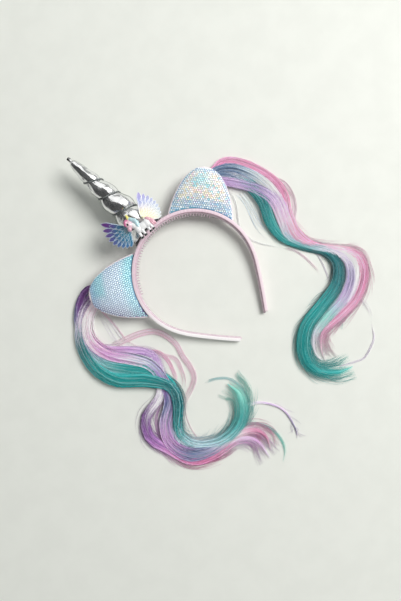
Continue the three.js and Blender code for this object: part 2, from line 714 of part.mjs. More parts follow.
const PALE_PLASTIC = finish(0xf3e6ea, 0.4, 0);
const PINK_SATIN = finish(0xd9a9bd, 0.45, 0);
const DARK_FELT = finish(0x3a3238, 0.9, 0);
const SILVER_FOIL = finish(0xd4d4d8, 0.18, 1);
const SILVER_CORD = finish(0xb9bbc0, 0.35, 1);
const PALE_SEQUINS = finish(0xbfdcec, 0.2, 0.3);
const LILAC_SATIN = finish(0xe4d3e6, 0.5, 0);
const CAST_WHITE = finish(0xf2ecef, 0.3, 0);
const CAST_BLUE = finish(0x6f86b8, 0.3, 0);
const CAST_YELLOW = finish(0xe6e3d2, 0.3, 0);
const FALL_LEFT_HAIR = finish(0x5fb8b4, 0.4, 0);
const FALL_RIGHT_HAIR = finish(0xe3a9cf, 0.4, 0);

function piece(name, geometry, material) {
  const mesh = new THREE.Mesh(geometry, material);
  mesh.name = name;
  return mesh;
}

// Assembly

const hoop = new THREE.Group();
hoop.add(
  piece('band_core', bandCore(), PALE_PLASTIC),
  piece('ribbon_cover', ribbonCover(), PINK_SATIN),
  piece('horn_pad', hornPad(), DARK_FELT),
  piece('horn', horn(), SILVER_FOIL),
  piece('horn_cord', hornCord(), SILVER_CORD),
);

function ear(name, height, turn) {
  const group = new THREE.Group();
  group.rotation.z = degToRad(turn);
  group.add(piece(`${name}_front`, earPanel(height, 1), PALE_SEQUINS));
  group.add(piece(`${name}_back`, earPanel(height, -1), LILAC_SATIN));
  return group;
}

const leftEar = ear('ear_left', LEFT_EAR_HEIGHT, LEFT_EAR_ANGLE);
const rightEar = ear('ear_right', RIGHT_EAR_HEIGHT, -RIGHT_EAR_ANGLE);
hoop.add(leftEar, rightEar);

function charm() {
  const leaning = new THREE.Group();
  leaning.position.set(CHARM_OFFSET, CHARM_FOOT, charmSeat());
  leaning.rotation.x = -degToRad(CHARM_LEAN);
  const turned = new THREE.Group();
  turned.rotation.z = degToRad(CHARM_TURN);
  leaning.add(turned);
  const figure = piece('charm_unicorn', charmFigure(), CAST_WHITE);
  figure.position.z = WING_THICK * FEATHER_LAYERS.at(-1).thick + GAP;
  turned.add(figure);
  [
    { name: 'wing_left', side: -1, spread: LEFT_WING, look: CAST_BLUE },
    { name: 'wing_right', side: 1, spread: RIGHT_WING, look: CAST_YELLOW },
  ].forEach(({ name, side, spread, look }) => {
    const cast = piece(name, wing(side, spread), look);
    cast.position.x = WING_OFFSET;
    cast.rotation.y = side * degToRad(WING_SWEEP);
    turned.add(cast);
  });
  return leaning;
}

hoop.add(charm());

// The hoop tips until both the horn's foot and the tips of the tails meet the table
function restAngle() {
  const tail = hoopAt(HALF_HOOP - RIBBON_SHORT).at.y;
  const position = hoop.getObjectByName('horn').geometry.attributes.position;
  let slope = 0;
  for (let i = 0; i < position.count; i += 1) {
    const fall = -position.getZ(i) - BAND_WIDTH_TIP / 2;
    slope = Math.max(slope, fall / (position.getY(i) - tail));
  }
  return Math.atan(slope);
}

hoop.rotation.x = restAngle();
hoop.updateMatrixWorld(true);
hoop.position.z = -new THREE.Box3().setFromObject(hoop, true).min.z;
hoop.updateMatrixWorld(true);

function fall(name, locks, earGroup, height, material) {
  const root = patchMiddle(height).applyMatrix4(earGroup.matrixWorld);
  const patch = solid(hairPatch(height).applyMatrix4(earGroup.matrixWorld));
  return piece(name, hairFall(locks, root, patch), material);
}

const headband = new THREE.Group();
headband.add(
  hoop,
  fall('hair_left', LEFT_LOCKS, leftEar, LEFT_EAR_HEIGHT, FALL_LEFT_HAIR),
  fall('hair_right', RIGHT_LOCKS, rightEar, RIGHT_EAR_HEIGHT, FALL_RIGHT_HAIR),
);
headband.updateMatrixWorld(true);

const extent = new THREE.Box3().setFromObject(headband, true);
const middle = extent.getCenter(new THREE.Vector3());
headband.position.set(-middle.x, -middle.y, -extent.min.z);

export default headband;
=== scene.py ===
"""The looks of a costume headband: foil horn, sequined ears, cast charm and wavy hair.

Sizes are millimetres in the hoop's own frame, whose origin is the crown's centre, until a piece
is laid in the part's frame.
"""

import math

import bpy
import numpy as np
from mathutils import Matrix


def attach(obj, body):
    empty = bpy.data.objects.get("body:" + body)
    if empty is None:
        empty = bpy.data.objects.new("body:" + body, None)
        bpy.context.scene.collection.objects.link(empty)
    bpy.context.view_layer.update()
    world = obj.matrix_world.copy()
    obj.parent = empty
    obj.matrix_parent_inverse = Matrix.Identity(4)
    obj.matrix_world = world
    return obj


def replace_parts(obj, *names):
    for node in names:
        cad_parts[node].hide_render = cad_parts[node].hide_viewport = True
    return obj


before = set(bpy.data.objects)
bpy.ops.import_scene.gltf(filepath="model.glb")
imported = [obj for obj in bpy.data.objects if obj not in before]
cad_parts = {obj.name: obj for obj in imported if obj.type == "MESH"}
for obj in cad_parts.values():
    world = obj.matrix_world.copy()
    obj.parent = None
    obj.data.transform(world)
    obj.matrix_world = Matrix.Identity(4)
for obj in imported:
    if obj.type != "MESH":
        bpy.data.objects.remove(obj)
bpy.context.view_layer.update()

MM = 0.001
GAP = 0.3

# Camera and light: metres, degrees and watts
CAMERA_AT = (-0.00215, -0.011, 0.62)
CAMERA_TURN = -47.69
CAMERA_LENS = 36.06
WINDOW_AT = (1.4, -0.4, 1.8)
WINDOW_SIZE = 1.3
WINDOW_POWER = 48
SKY_STRENGTH = 0.35
FLOOR_REACH = 3
FLOOR_LEVEL = -0.05 * MM

# The hoop's place in the part's frame
CROWN_AT = np.array([15.249, 11.73048, 10.89091])
HOOP_TILT = math.radians(5.26793)

# Hoop
HOOP_ARCS = [(60.8, 60.8 * math.radians(111.4)), (88, 88 * math.radians(12.5)), (600, 51)]
HALF_HOOP = sum(length for _, length in HOOP_ARCS)
BAND_WIDTH_CROWN = 12
BAND_WIDTH_TIP = 7
CORE_THICK = 3.2
RIBBON_THICK = 1.3
RIBBON_LIP = 2.2
RIBBON_SHORT = 1.5
TOOTH_SPAN = 128
TOOTH_PITCH = 2.9
TOOTH_HEIGHT = 2.5

# Frames in which padded cloth settles
SETTLE_FRAMES = 20

# Horn
RIBBON_OUTER = 60.8 + CORE_THICK / 2 + GAP + RIBBON_THICK
HORN_SEAT = RIBBON_OUTER + GAP + 1.2 + GAP
HORN_LENGTH = 104
HORN_TIP = HORN_SEAT + HORN_LENGTH
HORN_OFFSET = -2
HORN_PITCH = 21
FIRST_GROOVE = 34

# Ears
EAR_SEAT = RIBBON_OUTER + GAP
EAR_WIDTH = 66.5
EAR_HEIGHTS = {"left": 45, "right": 42}
EAR_PUFF = 6.5
EAR_EDGE = 1
EAR_TURNS = {"left": math.radians(55.5), "right": -math.radians(53)}
SEQUIN_PITCH = 2.3
SEQUIN_LOWEST = 50
# Radius and height of a sequin's rings, from its middle to its rim
SEQUIN_RINGS = [(0, 0.3), (0.5, 0.3), (0.98, 0.45)]
# Shares across and up an ear that the sequins reach, and from which its cloth is bare
SEQUIN_REACH = 0.95
BARE_FROM = 0.955

# Charm
CHARM_AT = np.array([-4, 59.5, 18.9582])
CHARM_TURN = math.radians(-8)
CHARM_LEAN = math.radians(-6)
FIGURE_HEIGHT = 25
WING_ROOT = np.array([9, 17, 0])
# Reach of the highest and the lowest feather, and their angles in degrees
WING_SPREAD = {"left": (28.3, 17.8, 50, -61), "right": (26.1, 19, 60, -33)}
WING_OFFSET = -3
WING_SWEEP = math.radians(8)
WING_THICK = 1.1
FEATHER_WIDTH = 6.4

# Hair
PATCH_ENDS = (14.3, 31.9)
PATCH_MIDDLE = 23.1
PATCH_THICK = 2.5
FALL_DROP = 200
LOCK_BREADTH = 12
ROOT_RUN = 42
STRAND_STEPS = 30
LINE_STEPS = 160
FLYAWAYS_ROOTED = 190
FLYAWAYS_STRAY = 8


# Camera and light

def colour(text):
    """A colour written as in a paint chart, such as d9a9bd, as the shader wants it."""
    parts = [int(text[i:i + 2], 16) / 255 for i in (0, 2, 4)]
    return (*[c / 12.92 if c < 0.04045 else ((c + 0.055) / 1.055) ** 2.4 for c in parts], 1)


def tone_of(text):
    """The same colour as three numbers to mix."""
    return np.array(colour(text)[:3])


def blended(first, second, share):
    """first where share is 0, second where it is 1."""
    return first + (second - first) * share


def put(name, data):
    """A new object in the scene."""
    made = bpy.data.objects.new(name, data)
    bpy.context.collection.objects.link(made)
    return made


def look_down():
    """The camera straight above the table, turned so that the horn points up and to the left."""
    data = bpy.data.cameras.new("camera")
    data.lens = CAMERA_LENS
    data.sensor_width = 36
    data.clip_end = 100
    camera = put("camera", data)
    camera.location = CAMERA_AT
    camera.rotation_euler = (0, 0, math.radians(CAMERA_TURN))
    bpy.context.scene.camera = camera


def window_light():
    """A round window that faces the middle of the table."""
    data = bpy.data.lights.new("window", "AREA")
    data.shape = "DISK"
    data.size = WINDOW_SIZE
    data.energy = WINDOW_POWER
    data.color = (1, 0.99, 0.97)
    light = put("window", data)
    light.location = WINDOW_AT
    light.rotation_euler = light.location.to_track_quat("Z", "Y").to_euler()


# Shader maths

class Channel:
    """A socket in a material: sums on it add Math nodes, and node() adds any other node."""

    def __init__(self, tree, socket=None):
        self.tree = tree
        self.socket = socket

    def node(self, kind, settings=None, values=None, out=0):
        made = self.tree.nodes.new(kind)
        for name, value in (settings or {}).items():
            if name == "stops":
                self._ramp(made.color_ramp, value)
            else:
                setattr(made, name, value)
        for name, value in (values or {}).items():
            self._feed(made.inputs[name], value)
        return Channel(self.tree, made.outputs[out])

    def _feed(self, socket, value):
        if isinstance(value, Channel):
            self.tree.links.new(value.socket, socket)
        else:
            socket.default_value = value

    @staticmethod
    def _ramp(ramp, stops):
        while len(ramp.elements) < len(stops):
            ramp.elements.new(0.5)
        for element, (at, shade) in zip(ramp.elements, stops):
            element.position = at
            element.color = shade

    def _sum(self, operation, first, second):
        return self.node("ShaderNodeMath", {"operation": operation}, {0: first, 1: second})

    def __add__(self, other):
        return self._sum("ADD", self, other)

    def __sub__(self, other):
        return self._sum("SUBTRACT", self, other)

    def __rsub__(self, other):
        return self._sum("SUBTRACT", other, self)

    def __mul__(self, other):
        return self._sum("MULTIPLY", self, other)

    def __pow__(self, other):
        return self._sum("POWER", self, other)

    __radd__ = __add__
    __rmul__ = __mul__

    def between(self, low, high):
        """0 below low, 1 above high, and smooth from one to the other."""
        settings = {"interpolation_type": "SMOOTHSTEP"}
        return self.node("ShaderNodeMapRange", settings, {"Value": self, 1: low, 2: high})

    def mixed(self, first, second):
        """first where this is 0, second where it is 1."""
        values = {0: self, 6: first, 7: second}
        return self.node("ShaderNodeMix", {"data_type": "RGBA"}, values, out=2)

    def shaded(self, share):
        """This colour times a share from 0 to 1 or more."""
        return self.node("ShaderNodeVectorMath", {"operation": "SCALE"}, {0: self, "Scale": share})

    def tinted(self, other):
        """This colour multiplied by another."""
        return self.node("ShaderNodeVectorMath", {"operation": "MULTIPLY"}, {0: self, 1: other})

    def place(self):
        return self.node("ShaderNodeTexCoord", out=3)

    def tint(self):
        """The colour painted on the mesh."""
        return self.node("ShaderNodeAttribute", {"attribute_name": "tint"})

    def noise(self, scale, detail=2):
        """Noise with scale grains to the metre."""
        values = {"Vector": self.place(), "Scale": scale, "Detail": detail}
        return self.node("ShaderNodeTexNoise", None, values)

    def bump(self, height, depth):
        """A relief of height from 0 to 1 that stands depth millimetres proud."""
        values = {"Strength": 1, "Distance": depth * MM, "Height": height}
        return self.node("ShaderNodeBump", None, values)


def finish(name, paint, **constants):
    """A material: constants on the shader's own sockets, and paint(channel) for what varies."""
    material = bpy.data.materials.new(name)
    material.use_nodes = True
    tree = material.node_tree
    shader = tree.nodes["Principled BSDF"]
    for key, value in constants.items():
        shader.inputs[key.replace("_", " ")].default_value = value
    for key, value in paint(Channel(tree)).items():
        tree.links.new(value.socket, shader.inputs[key])
    return material


def grained(base, light, scale, depth, rough=(0.35, 0.5)):
    """A plain coloured surface with a fine grain in colour, gloss and relief."""
    def paint(c):
        grain = c.noise(scale, 3)
        return {
            "Base Color": grain.between(0.3, 0.7).mixed(colour(base), colour(light)),
            "Roughness": rough[0] + grain * (rough[1] - rough[0]),
            "Normal": c.bump(grain, depth),
        }
    return paint


def painted(scale, depth, rough, spread):
    """The colour painted on the mesh, with a little fine variation."""
    def paint(c):
        grain = c.noise(scale, 3)
        return {
            "Base Color": c.tint().shaded(1 - spread / 2 + grain * spread),
            "Roughness": rough + (grain - 0.5) * 0.15,
            "Normal": c.bump(grain, depth),
        }
    return paint


def glowing(scale, depth, rough, spread):
    """As painted, and glowing faintly in its own colour: painted light that stands in for light
    passing from strand to strand.
    """
    def paint(c):
        return {**painted(scale, depth, rough, spread)(c), "Emission Color": c.tint()}
    return paint


def foil(c):
    """Smooth silver foil cloth, a little crinkled, with the painted shade of its tint where it is
    drawn in and a painted dark reflection at its rim.
    """
    crinkle = c.noise(420)
    drawn = c.noise(90)
    tarnish = c.noise(75, 3).between(0.5, 0.8)
    # Painted reflection: where the foil turns edge-on it is painted dark grey-green, for the dark
    # things it would reflect there.
    rim = c.node("ShaderNodeLayerWeight", None, {"Blend": 0.5}, out=1).between(0.5, 0.85)
    silver = tarnish.mixed(colour("f2f2f3"), colour("c8c8cc"))
    return {
        "Base Color": rim.mixed(silver.tinted(c.tint()), colour("6b756f")),
        "Roughness": 0.15 + crinkle * 0.08,
        "Normal": c.bump(crinkle * 0.12 + drawn, 0.2),
    }


def satin(base, light):
    """Satin: fine threads across the weave, with a slow change of tone."""
    def paint(c):
        threads = c.noise(2600)
        cloud = c.noise(70).between(0.3, 0.7)
        return {
            "Base Color": cloud.mixed(colour(base), colour(light)).shaded(0.85 + threads * 0.3),
            "Roughness": 0.36 + threads * 0.2,
            "Normal": c.bump(threads, 0.05),
        }
    return paint


# Meshes

def eased(value):
    value = np.clip(value, 0, 1)
    return value * value * (3 - 2 * value)


def spun(points, angle, axis):
    """Points turned by angle about x (0), y (1) or z (2)."""
    a, b = [(1, 2), (2, 0), (0, 1)][axis]
    out = np.array(points, dtype=float)
    out[..., a] = points[..., a] * math.cos(angle) - points[..., b] * math.sin(angle)
    out[..., b] = points[..., a] * math.sin(angle) + points[..., b] * math.cos(angle)
    return out


def laid(points):
    """From the hoop's frame to the part's."""
    return spun(points, HOOP_TILT, 0) + CROWN_AT


def tint_mesh(mesh, tint):
    """Paints the points of a mesh."""
    full = np.ones((len(mesh.vertices), 4), dtype=np.float32)
    full[:, :3] = np.reshape(tint, (-1, np.shape(tint)[-1]))[:, :3]
    layer = mesh.color_attributes.new("tint", "FLOAT_COLOR", "POINT")
    layer.data.foreach_set("color", full.ravel())


def piece(name, points, faces, material, tint=None):
    """A mesh object on the root body from points in millimetres and lists of faces."""
    mesh = bpy.data.meshes.new(name)
    points = np.asarray(points, dtype=np.float32).reshape(-1, 3)
    mesh.vertices.add(len(points))
    mesh.vertices.foreach_set("co", (points * MM).ravel())
    faces = [np.asarray(f, dtype=np.int32) for f in faces if len(f)]
    sizes = np.concatenate([np.full(len(f), f.shape[1]) for f in faces])
    mesh.loops.add(int(sizes.sum()))
    mesh.loops.foreach_set("vertex_index", np.concatenate([f.ravel() for f in faces]))
    mesh.polygons.add(len(sizes))
    mesh.polygons.foreach_set("loop_start", np.concatenate([[0], np.cumsum(sizes)[:-1]]))
    mesh.update(calc_edges=True)
    mesh.validate()
    mesh.polygons.foreach_set("use_smooth", np.full(len(mesh.polygons), True))
    if tint is not None:
        tint_mesh(mesh, tint)
    mesh.materials.append(material)
    made = put(name, mesh)
    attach(made, "root")
    return made


def net(rows, columns, wrap=False, start=0, flip=False):
    """Faces of a net of rows by columns points, closed round its columns or not."""
    r = np.arange(rows - 1)[:, None] * columns
    c = np.arange(columns if wrap else columns - 1)[None, :]
    d = (c + 1) % columns
    quads = np.stack([r + c, r + d, r + d + columns, r + c + columns], axis=-1).reshape(-1, 4)
    return (quads[:, ::-1] if flip else quads) + start


def walled(rows, columns, turned=False):
    """Faces of two nets, one under the other, and of the wall round them."""
    size = rows * columns
    grid = np.arange(size).reshape(rows, columns)
    border = np.concatenate([grid[0, :-1], grid[:-1, -1], grid[-1, :0:-1], grid[:0:-1, 0]])
    after = np.roll(border, -1)
    wall = np.stack([border, border + size, after + size, after], axis=-1)
    return [net(rows, columns, flip=turned), net(rows, columns, start=size, flip=not turned),
            wall[:, ::-1] if turned else wall]


def circle(sides, start=0):
    """The angles of a ring's points, turned by start of a step."""
    return 2 * np.pi * (np.arange(sides) + start) / sides


def tubes(paths, half_wide, half_thick, sides, across=None):
    """Closed tubes along paths (tube, step, xyz): points, quads and the two end faces."""
    count, steps, _ = paths.shape
    ahead = np.gradient(paths, axis=1)
    ahead /= np.linalg.norm(ahead, axis=-1, keepdims=True) + 1e-9
    if across is None:
        across = np.stack([-ahead[..., 1], ahead[..., 0], np.zeros_like(ahead[..., 0])], axis=-1)
        across /= np.linalg.norm(across, axis=-1, keepdims=True) + 1e-9
    above = np.cross(across, -ahead)
    turn = circle(sides)
    points = (paths[:, :, None]
              + across[:, :, None] * (np.cos(turn)[:, None] * half_wide[..., None, None])
              + above[:, :, None] * (np.sin(turn)[:, None] * half_thick[..., None, None]))
    each = steps * sides
    quads = (net(steps, sides, wrap=True)[None] + np.arange(count)[:, None, None] * each)
    ring = np.arange(sides)
    ends = np.concatenate([ring[::-1][None], (ring + each - sides)[None]])
    ends = ends[None] + np.arange(count)[:, None, None] * each
    return points.reshape(-1, 3), [quads.reshape(-1, 4), ends.reshape(-1, sides)]


def joined(forms):
    """Several (points, faces) as one."""
    points, faces, start = [], [], 0
    for where, lists in forms:
        points.append(np.asarray(where).reshape(-1, 3))
        faces.extend(np.asarray(f) + start for f in lists)
        start += len(points[-1])
    return np.concatenate(points), faces


def gathered(parts):
    """Several (points, faces, tint) as one."""
    points, faces = joined([part[:2] for part in parts])
    tints = [np.broadcast_to(np.asarray(tint)[..., :3], np.reshape(where, (-1, 3)).shape)
             for where, _, tint in parts]
    return points, faces, np.concatenate(tints)


def stuffed(points, faces, held, slack, most, even):
    """Points of a padded piece blown out by cloth simulation from where it is held.

    slack is the spare cloth as a share, most the furthest that a point moves in millimetres,
    and even the number of rounds that spread a point's movement to those beside it.

    It is simulated ten times as large as it is, because cloth this small would not move.
    """
    scale = 10 * MM
    mesh = bpy.data.meshes.new("stuffing")
    mesh.from_pydata((points * scale).tolist(), [], [f for group in faces for f in group.tolist()])
    cloth = put("stuffing", mesh)
    group = cloth.vertex_groups.new(name="held")
    for i in np.flatnonzero(held):
        group.add([int(i)], float(held[i]), "REPLACE")
    pressed = cloth.modifiers.new("cloth", "CLOTH")
    pressed.settings.quality = 5
    pressed.settings.use_pressure = True
    pressed.settings.uniform_pressure_force = 4
    pressed.settings.vertex_group_mass = "held"
    pressed.settings.shrink_min = -slack
    pressed.settings.effector_weights.gravity = 0
    pressed.collision_settings.use_collision = False
    for step in range(1, SETTLE_FRAMES + 1):
        bpy.context.scene.frame_set(step)
    blown = cloth.evaluated_get(bpy.context.evaluated_depsgraph_get()).data
    flat = np.empty(len(points) * 3)
    blown.vertices.foreach_get("co", flat)
    bpy.data.objects.remove(cloth)
    bpy.data.meshes.remove(mesh)
    bpy.context.scene.frame_set(1)
    moved = flat.reshape(-1, 3) / scale - points
    rims = [np.stack([f, np.roll(f, -1, axis=1)], axis=-1).reshape(-1, 2) for f in faces]
    edges = np.concatenate(rims)
    shared = np.bincount(edges.ravel(), minlength=len(points))[:, None]
    for _ in range(even):
        near = np.zeros_like(moved)
        np.add.at(near, edges[:, 0], moved[edges[:, 1]])
        np.add.at(near, edges[:, 1], moved[edges[:, 0]])
        moved = (moved + near / shared) / 2 * (1 - held[:, None])
    size = np.linalg.norm(moved, axis=1, keepdims=True)
    return points + moved * np.minimum(1, most / np.maximum(size, 1e-9))


def settled(made):
    """What a piece's modifiers make of it, kept as its mesh."""
    shown = made.evaluated_get(bpy.context.evaluated_depsgraph_get())
    mesh = bpy.data.meshes.new_from_object(shown)
    made.modifiers.clear()
    old = made.data
    made.data = mesh
    bpy.data.meshes.remove(old)
    return mesh


def rounded(made):
    """One subdivision, kept in the mesh."""
    finer = made.modifiers.new("round", "SUBSURF")
    finer.levels = 1
    settled(made)
    return made


# Hoop

def hoop_at(distance):
    """Points of the hoop's centreline and their outward directions."""
    side = np.where(distance < 0, -1.0, 1.0)
    left = np.abs(distance)
    at = np.stack([np.zeros_like(left), np.full_like(left, HOOP_ARCS[0][0])], axis=-1)
    turned = np.zeros_like(left)
    for i, (radius, length) in enumerate(HOOP_ARCS):
        run = left if i == len(HOOP_ARCS) - 1 else np.minimum(left, length)
        inward = np.stack([-np.sin(turned), -np.cos(turned)], axis=-1)
        centre = at + inward * radius
        turned = turned + run / radius
        inward = np.stack([-np.sin(turned), -np.cos(turned)], axis=-1)
        at = centre - inward * radius
        left = left - run
    outward = -inward
    at[..., 0] *= side
    outward[..., 0] *= side
    return at, outward


def band_width(distance):
    run = HALF_HOOP - HOOP_ARCS[0][1] / 2
    share = eased((HALF_HOOP - np.abs(distance)) / run)
    return BAND_WIDTH_TIP + (BAND_WIDTH_CROWN - BAND_WIDTH_TIP) * share


def swept(section, distances):
    """A net swept along the hoop: section(distance) gives offs and ups for every station."""
    at, outward = hoop_at(distances)
    off, up = section(distances)
    xy = at[:, None] + outward[:, None] * off[..., None]
    return np.concatenate([xy, up[..., None]], axis=-1)


def capped(points):
    """Faces of a swept net closed round its section, with both ends filled."""
    rows, columns = points.shape[:2]
    ring = np.arange(columns)
    return [net(rows, columns, wrap=True), ring[::-1][None], (ring + (rows - 1) * columns)[None]]


def squared(value):
    """A sine or cosine drawn out, so that a round section turns nearly square."""
    return np.sign(value) * np.abs(value) ** 0.35


def toothed_core():
    """The bar inside the ribbon, with the teeth that hold it in the hair."""
    stations = np.linspace(-HALF_HOOP, HALF_HOOP, 260)
    turn = circle(16, 0.5)

    def section(distance):
        tip = np.clip((HALF_HOOP - np.abs(distance)) / 1.6, 0, 1)
        share = 0.5 + 0.5 * np.sqrt(1 - (1 - tip) ** 2)
        half = band_width(distance) / 2 - RIBBON_THICK - GAP
        off = share[:, None] * squared(np.cos(turn)) * CORE_THICK / 2
        return off, share[:, None] * squared(np.sin(turn)) * half[:, None]

    bar = swept(section, stations)
    forms = [(bar, capped(bar))]
    half_span = HOOP_ARCS[0][0] * math.radians(TOOTH_SPAN) / 2
    for distance in np.arange(-half_span, half_span, TOOTH_PITCH):
        at, outward = hoop_at(np.array([distance]))
        along = np.array([-outward[0, 1], outward[0, 0]])
        rings = []
        for share in (0, 0.5, 0.8, 0.95, 1):
            deep = -CORE_THICK / 4 - share * (TOOTH_HEIGHT + CORE_THICK / 4)
            wide = 0.95 - 0.5 * share - (0.2 if share == 1 else 0)
            high = 3.3 - 1.1 * share ** 2 - (0.3 if share == 1 else 0)
            xy = at[0] + outward[0] * deep + along * np.cos(turn)[:, None] * wide
            rings.append(np.column_stack([xy, np.sin(turn) * high]))
        wedge = np.array(rings)
        forms.append((wedge, capped(wedge)))
    points, faces = joined(forms)
    look = finish("moulded pale plastic", grained("dccad3", "cfb9c5", 300, 0.03, (0.3, 0.42)),
                  Coat_Weight=0.2)
    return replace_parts(piece("toothed_core", laid(points), faces, look), "band_core")


def satin_ribbon():
    """Satin folded over the outside of the hoop, a little gathered at its turned edges."""
    reach = HALF_HOOP - RIBBON_SHORT
    stations = np.linspace(-reach, reach, 420)
    inner = CORE_THICK / 2 + GAP
    outer = inner + RIBBON_THICK
    lip = inner - RIBBON_LIP
    # Columns: distance out, distance in from the band's edge, share of the gathers
    outline = np.array([
        [lip, 0.35, 0], [lip + 0.15, 0.08, 0.6], [lip + 0.7, 0, 1], [outer - 0.7, 0, 1],
        [outer - 0.25, 0.12, 1], [outer, 0.45, 0.6], [outer, 2.2, 0.1],
    ])
    inside = np.array([[lip, 0.75, 0], [inner, 1, 0]])

    def section(distance):
        half = band_width(distance)[:, None] / 2
        gather = 0.10 * np.sin(distance * 1.9 + 2 * np.sin(distance * 0.21))
        gather += 0.07 * np.sin(distance * 3.1 + 3 * np.sin(distance * 0.13))
        top = half - outline[:, 1] + gather[:, None] * outline[:, 2]
        bottom = -(half - outline[::-1, 1] - gather[:, None] * outline[::-1, 2])
        ups = [top, bottom, -(half - inside[:, 1]), half - inside[::-1, 1]]
        offs = [outline[:, 0], outline[::-1, 0], inside[:, 0], inside[::-1, 0]]
        off = np.broadcast_to(np.concatenate(offs), (len(distance), 18))
        return off, np.concatenate(ups, axis=1)

    points = swept(section, stations)
    # The crown is painted a deeper pink than the tails, and the left tail near white: painted light
    # where the window falls on it.
    right = eased((points[..., 0].mean(axis=1) + 10) / 20)
    tail = blended(tone_of("fdfafb"), tone_of("efdce4"), right[:, None, None])
    below = eased((np.abs(stations) - 50) / 70)
    face = blended(tone_of("e8d0dc"), tail, below[:, None, None])
    # Painted shadow: a darker pink along the inner edges of the lips and on the faces against the
    # core, where the lips meet the core, fading towards the tails and more so on the left.
    share = np.zeros(18)
    share[[0, 1, 2, 11, 12, 13, 14, 15, 16, 17]] = [1, 0.7, 0.1, 0.1, 0.7, 1, 1, 1, 1, 1]
    painted_shadow_fade = 1 - (0.65 - 0.5 * right) * eased((np.abs(stations) - 60) / 80)
    tint = blended(face, tone_of("c898ac"), share[:, None] * painted_shadow_fade[:, None, None])
    look = finish("pink satin ribbon", painted(1800, 0.05, 0.42, 0.24), Sheen_Weight=0.2)
    made = piece("satin_ribbon", laid(points), capped(points), look, tint)
    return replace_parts(made, "ribbon_cover")


# Horn

def groove_phase(down, angle):
    """Turns of the groove from its first one: whole in the groove, and half on the puff."""
    return (down - FIRST_GROOVE) / HORN_PITCH - angle / (2 * np.pi)


def horn_radius(down, angle):
    """The horn's radius at a distance below its tip, with its puffs and the nub at the tip."""
    taper = 18 * (down / HORN_LENGTH) ** 0.62
    phase = groove_phase(down, angle)
    puff = np.abs(np.sin(np.pi * phase)) ** 0.75
    depth = 0.25 * eased((down - 14) / 22)
    body = taper * (1 - depth * (1 - puff))
    nub = 1.8 * np.minimum(1, np.sqrt(down / 0.8))
    return nub + (body - nub) * eased((down - 4.5) / 3)


def creases(down, angle):
    """Folds that the cord pulls into the foil: they start at the groove and die out on the puff."""
    phase = groove_phase(down, angle)
    nearest = np.round(phase)
    away = np.abs(phase - nearest) * HORN_PITCH
    run = angle + 2 * np.pi * nearest
    size = eased((down - 12) / 40)
    folds = np.abs(np.sin(2.5 * run + 1.3 * np.sin(1.7 * run))) ** 0.6 - 1
    small = np.abs(np.sin(8.5 * run + 2.1 * np.sin(2.3 * run) + 1)) ** 0.7 - 1
    return size * (0.5 * folds * np.exp(-(away / 4.4) ** 2)
                   + 0.16 * small * np.exp(-(away / 1.8) ** 2))


def on_horn(down, angle, out):
    """Points on the horn's skin, or out from it."""
    radius = horn_radius(down, angle) + out
    return np.stack([HORN_OFFSET + radius * np.sin(angle), HORN_TIP - down,
                     radius * np.cos(angle)], axis=-1)


def felt_pad():
    """The pad under the horn keeps its solid and is made of felt."""
    look = finish("dark felt", grained("2e262c", "4a3f47", 1500, 0.25, (0.8, 0.95)), Sheen_Weight=0.4)
    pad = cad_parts["horn_pad"]
    pad = bpy.data.objects[pad] if isinstance(pad, str) else pad
    for held in pad.material_slots:
        held.material = look


def foil_horn():
    """Foil cloth over a stuffed cone, which the cord holds in at the groove."""
    sides, rows = 72, 124
    angle = circle(sides)
    end = np.full(sides, float(HORN_LENGTH))
    for _ in range(6):
        x = HORN_OFFSET + horn_radius(end, angle) * np.sin(angle)
        end = HORN_TIP - np.sqrt(HORN_SEAT ** 2 - x ** 2)
    share = np.linspace(0, 1, rows)[:, None] ** 1.15
    down = np.maximum(share * end, 0.02)
    turn = np.broadcast_to(angle, down.shape)
    fold = creases(down, turn) * eased((end - down) / 6)
    skin = on_horn(down, turn, fold - 0.25 * eased((down - 12) / 10))
    foot = []
    for inward in (0.75, 0.5, 0.25):
        ring = skin[-1].copy()
        ring[:, 0] = HORN_OFFSET + (ring[:, 0] - HORN_OFFSET) * inward
        ring[:, 2] *= inward
        ring[:, 1] = np.sqrt(HORN_SEAT ** 2 - ring[:, 0] ** 2)
        foot.append(ring)
    points = np.concatenate([skin, foot]).reshape(-1, 3)
    phase = groove_phase(down, turn)
    away = np.abs(phase - np.round(phase)) * HORN_PITCH
    held = (away < 0.7) | (down < 13) | (end - down < 2.5)
    held = np.concatenate([held.ravel(), np.ones(3 * sides, dtype=bool)]) * 1.0
    faces = capped(np.concatenate([skin, foot]))
    points = stuffed(points, faces, held, 0.01, 0.6, 6)
    look = finish("silver foil cloth", foil, Metallic=1.0)
    # Painted shade in the tint: darker along the groove where the cord draws the foil in, and at the
    # foot under the horn. The tip nub is painted dark as a painted reflection.
    tint = 1 - 0.5 * np.exp(-(away / 1) ** 2) * eased((down - 18) / 12)
    tint = tint * (0.2 + 0.8 * eased((down - 2.6) / 1.2))
    tint = np.concatenate([tint, np.full((3, sides), 0.5)]).reshape(-1, 1) * np.ones(3)
    made = rounded(piece("foil_horn", laid(points), faces, look, tint))
    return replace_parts(made, "horn")


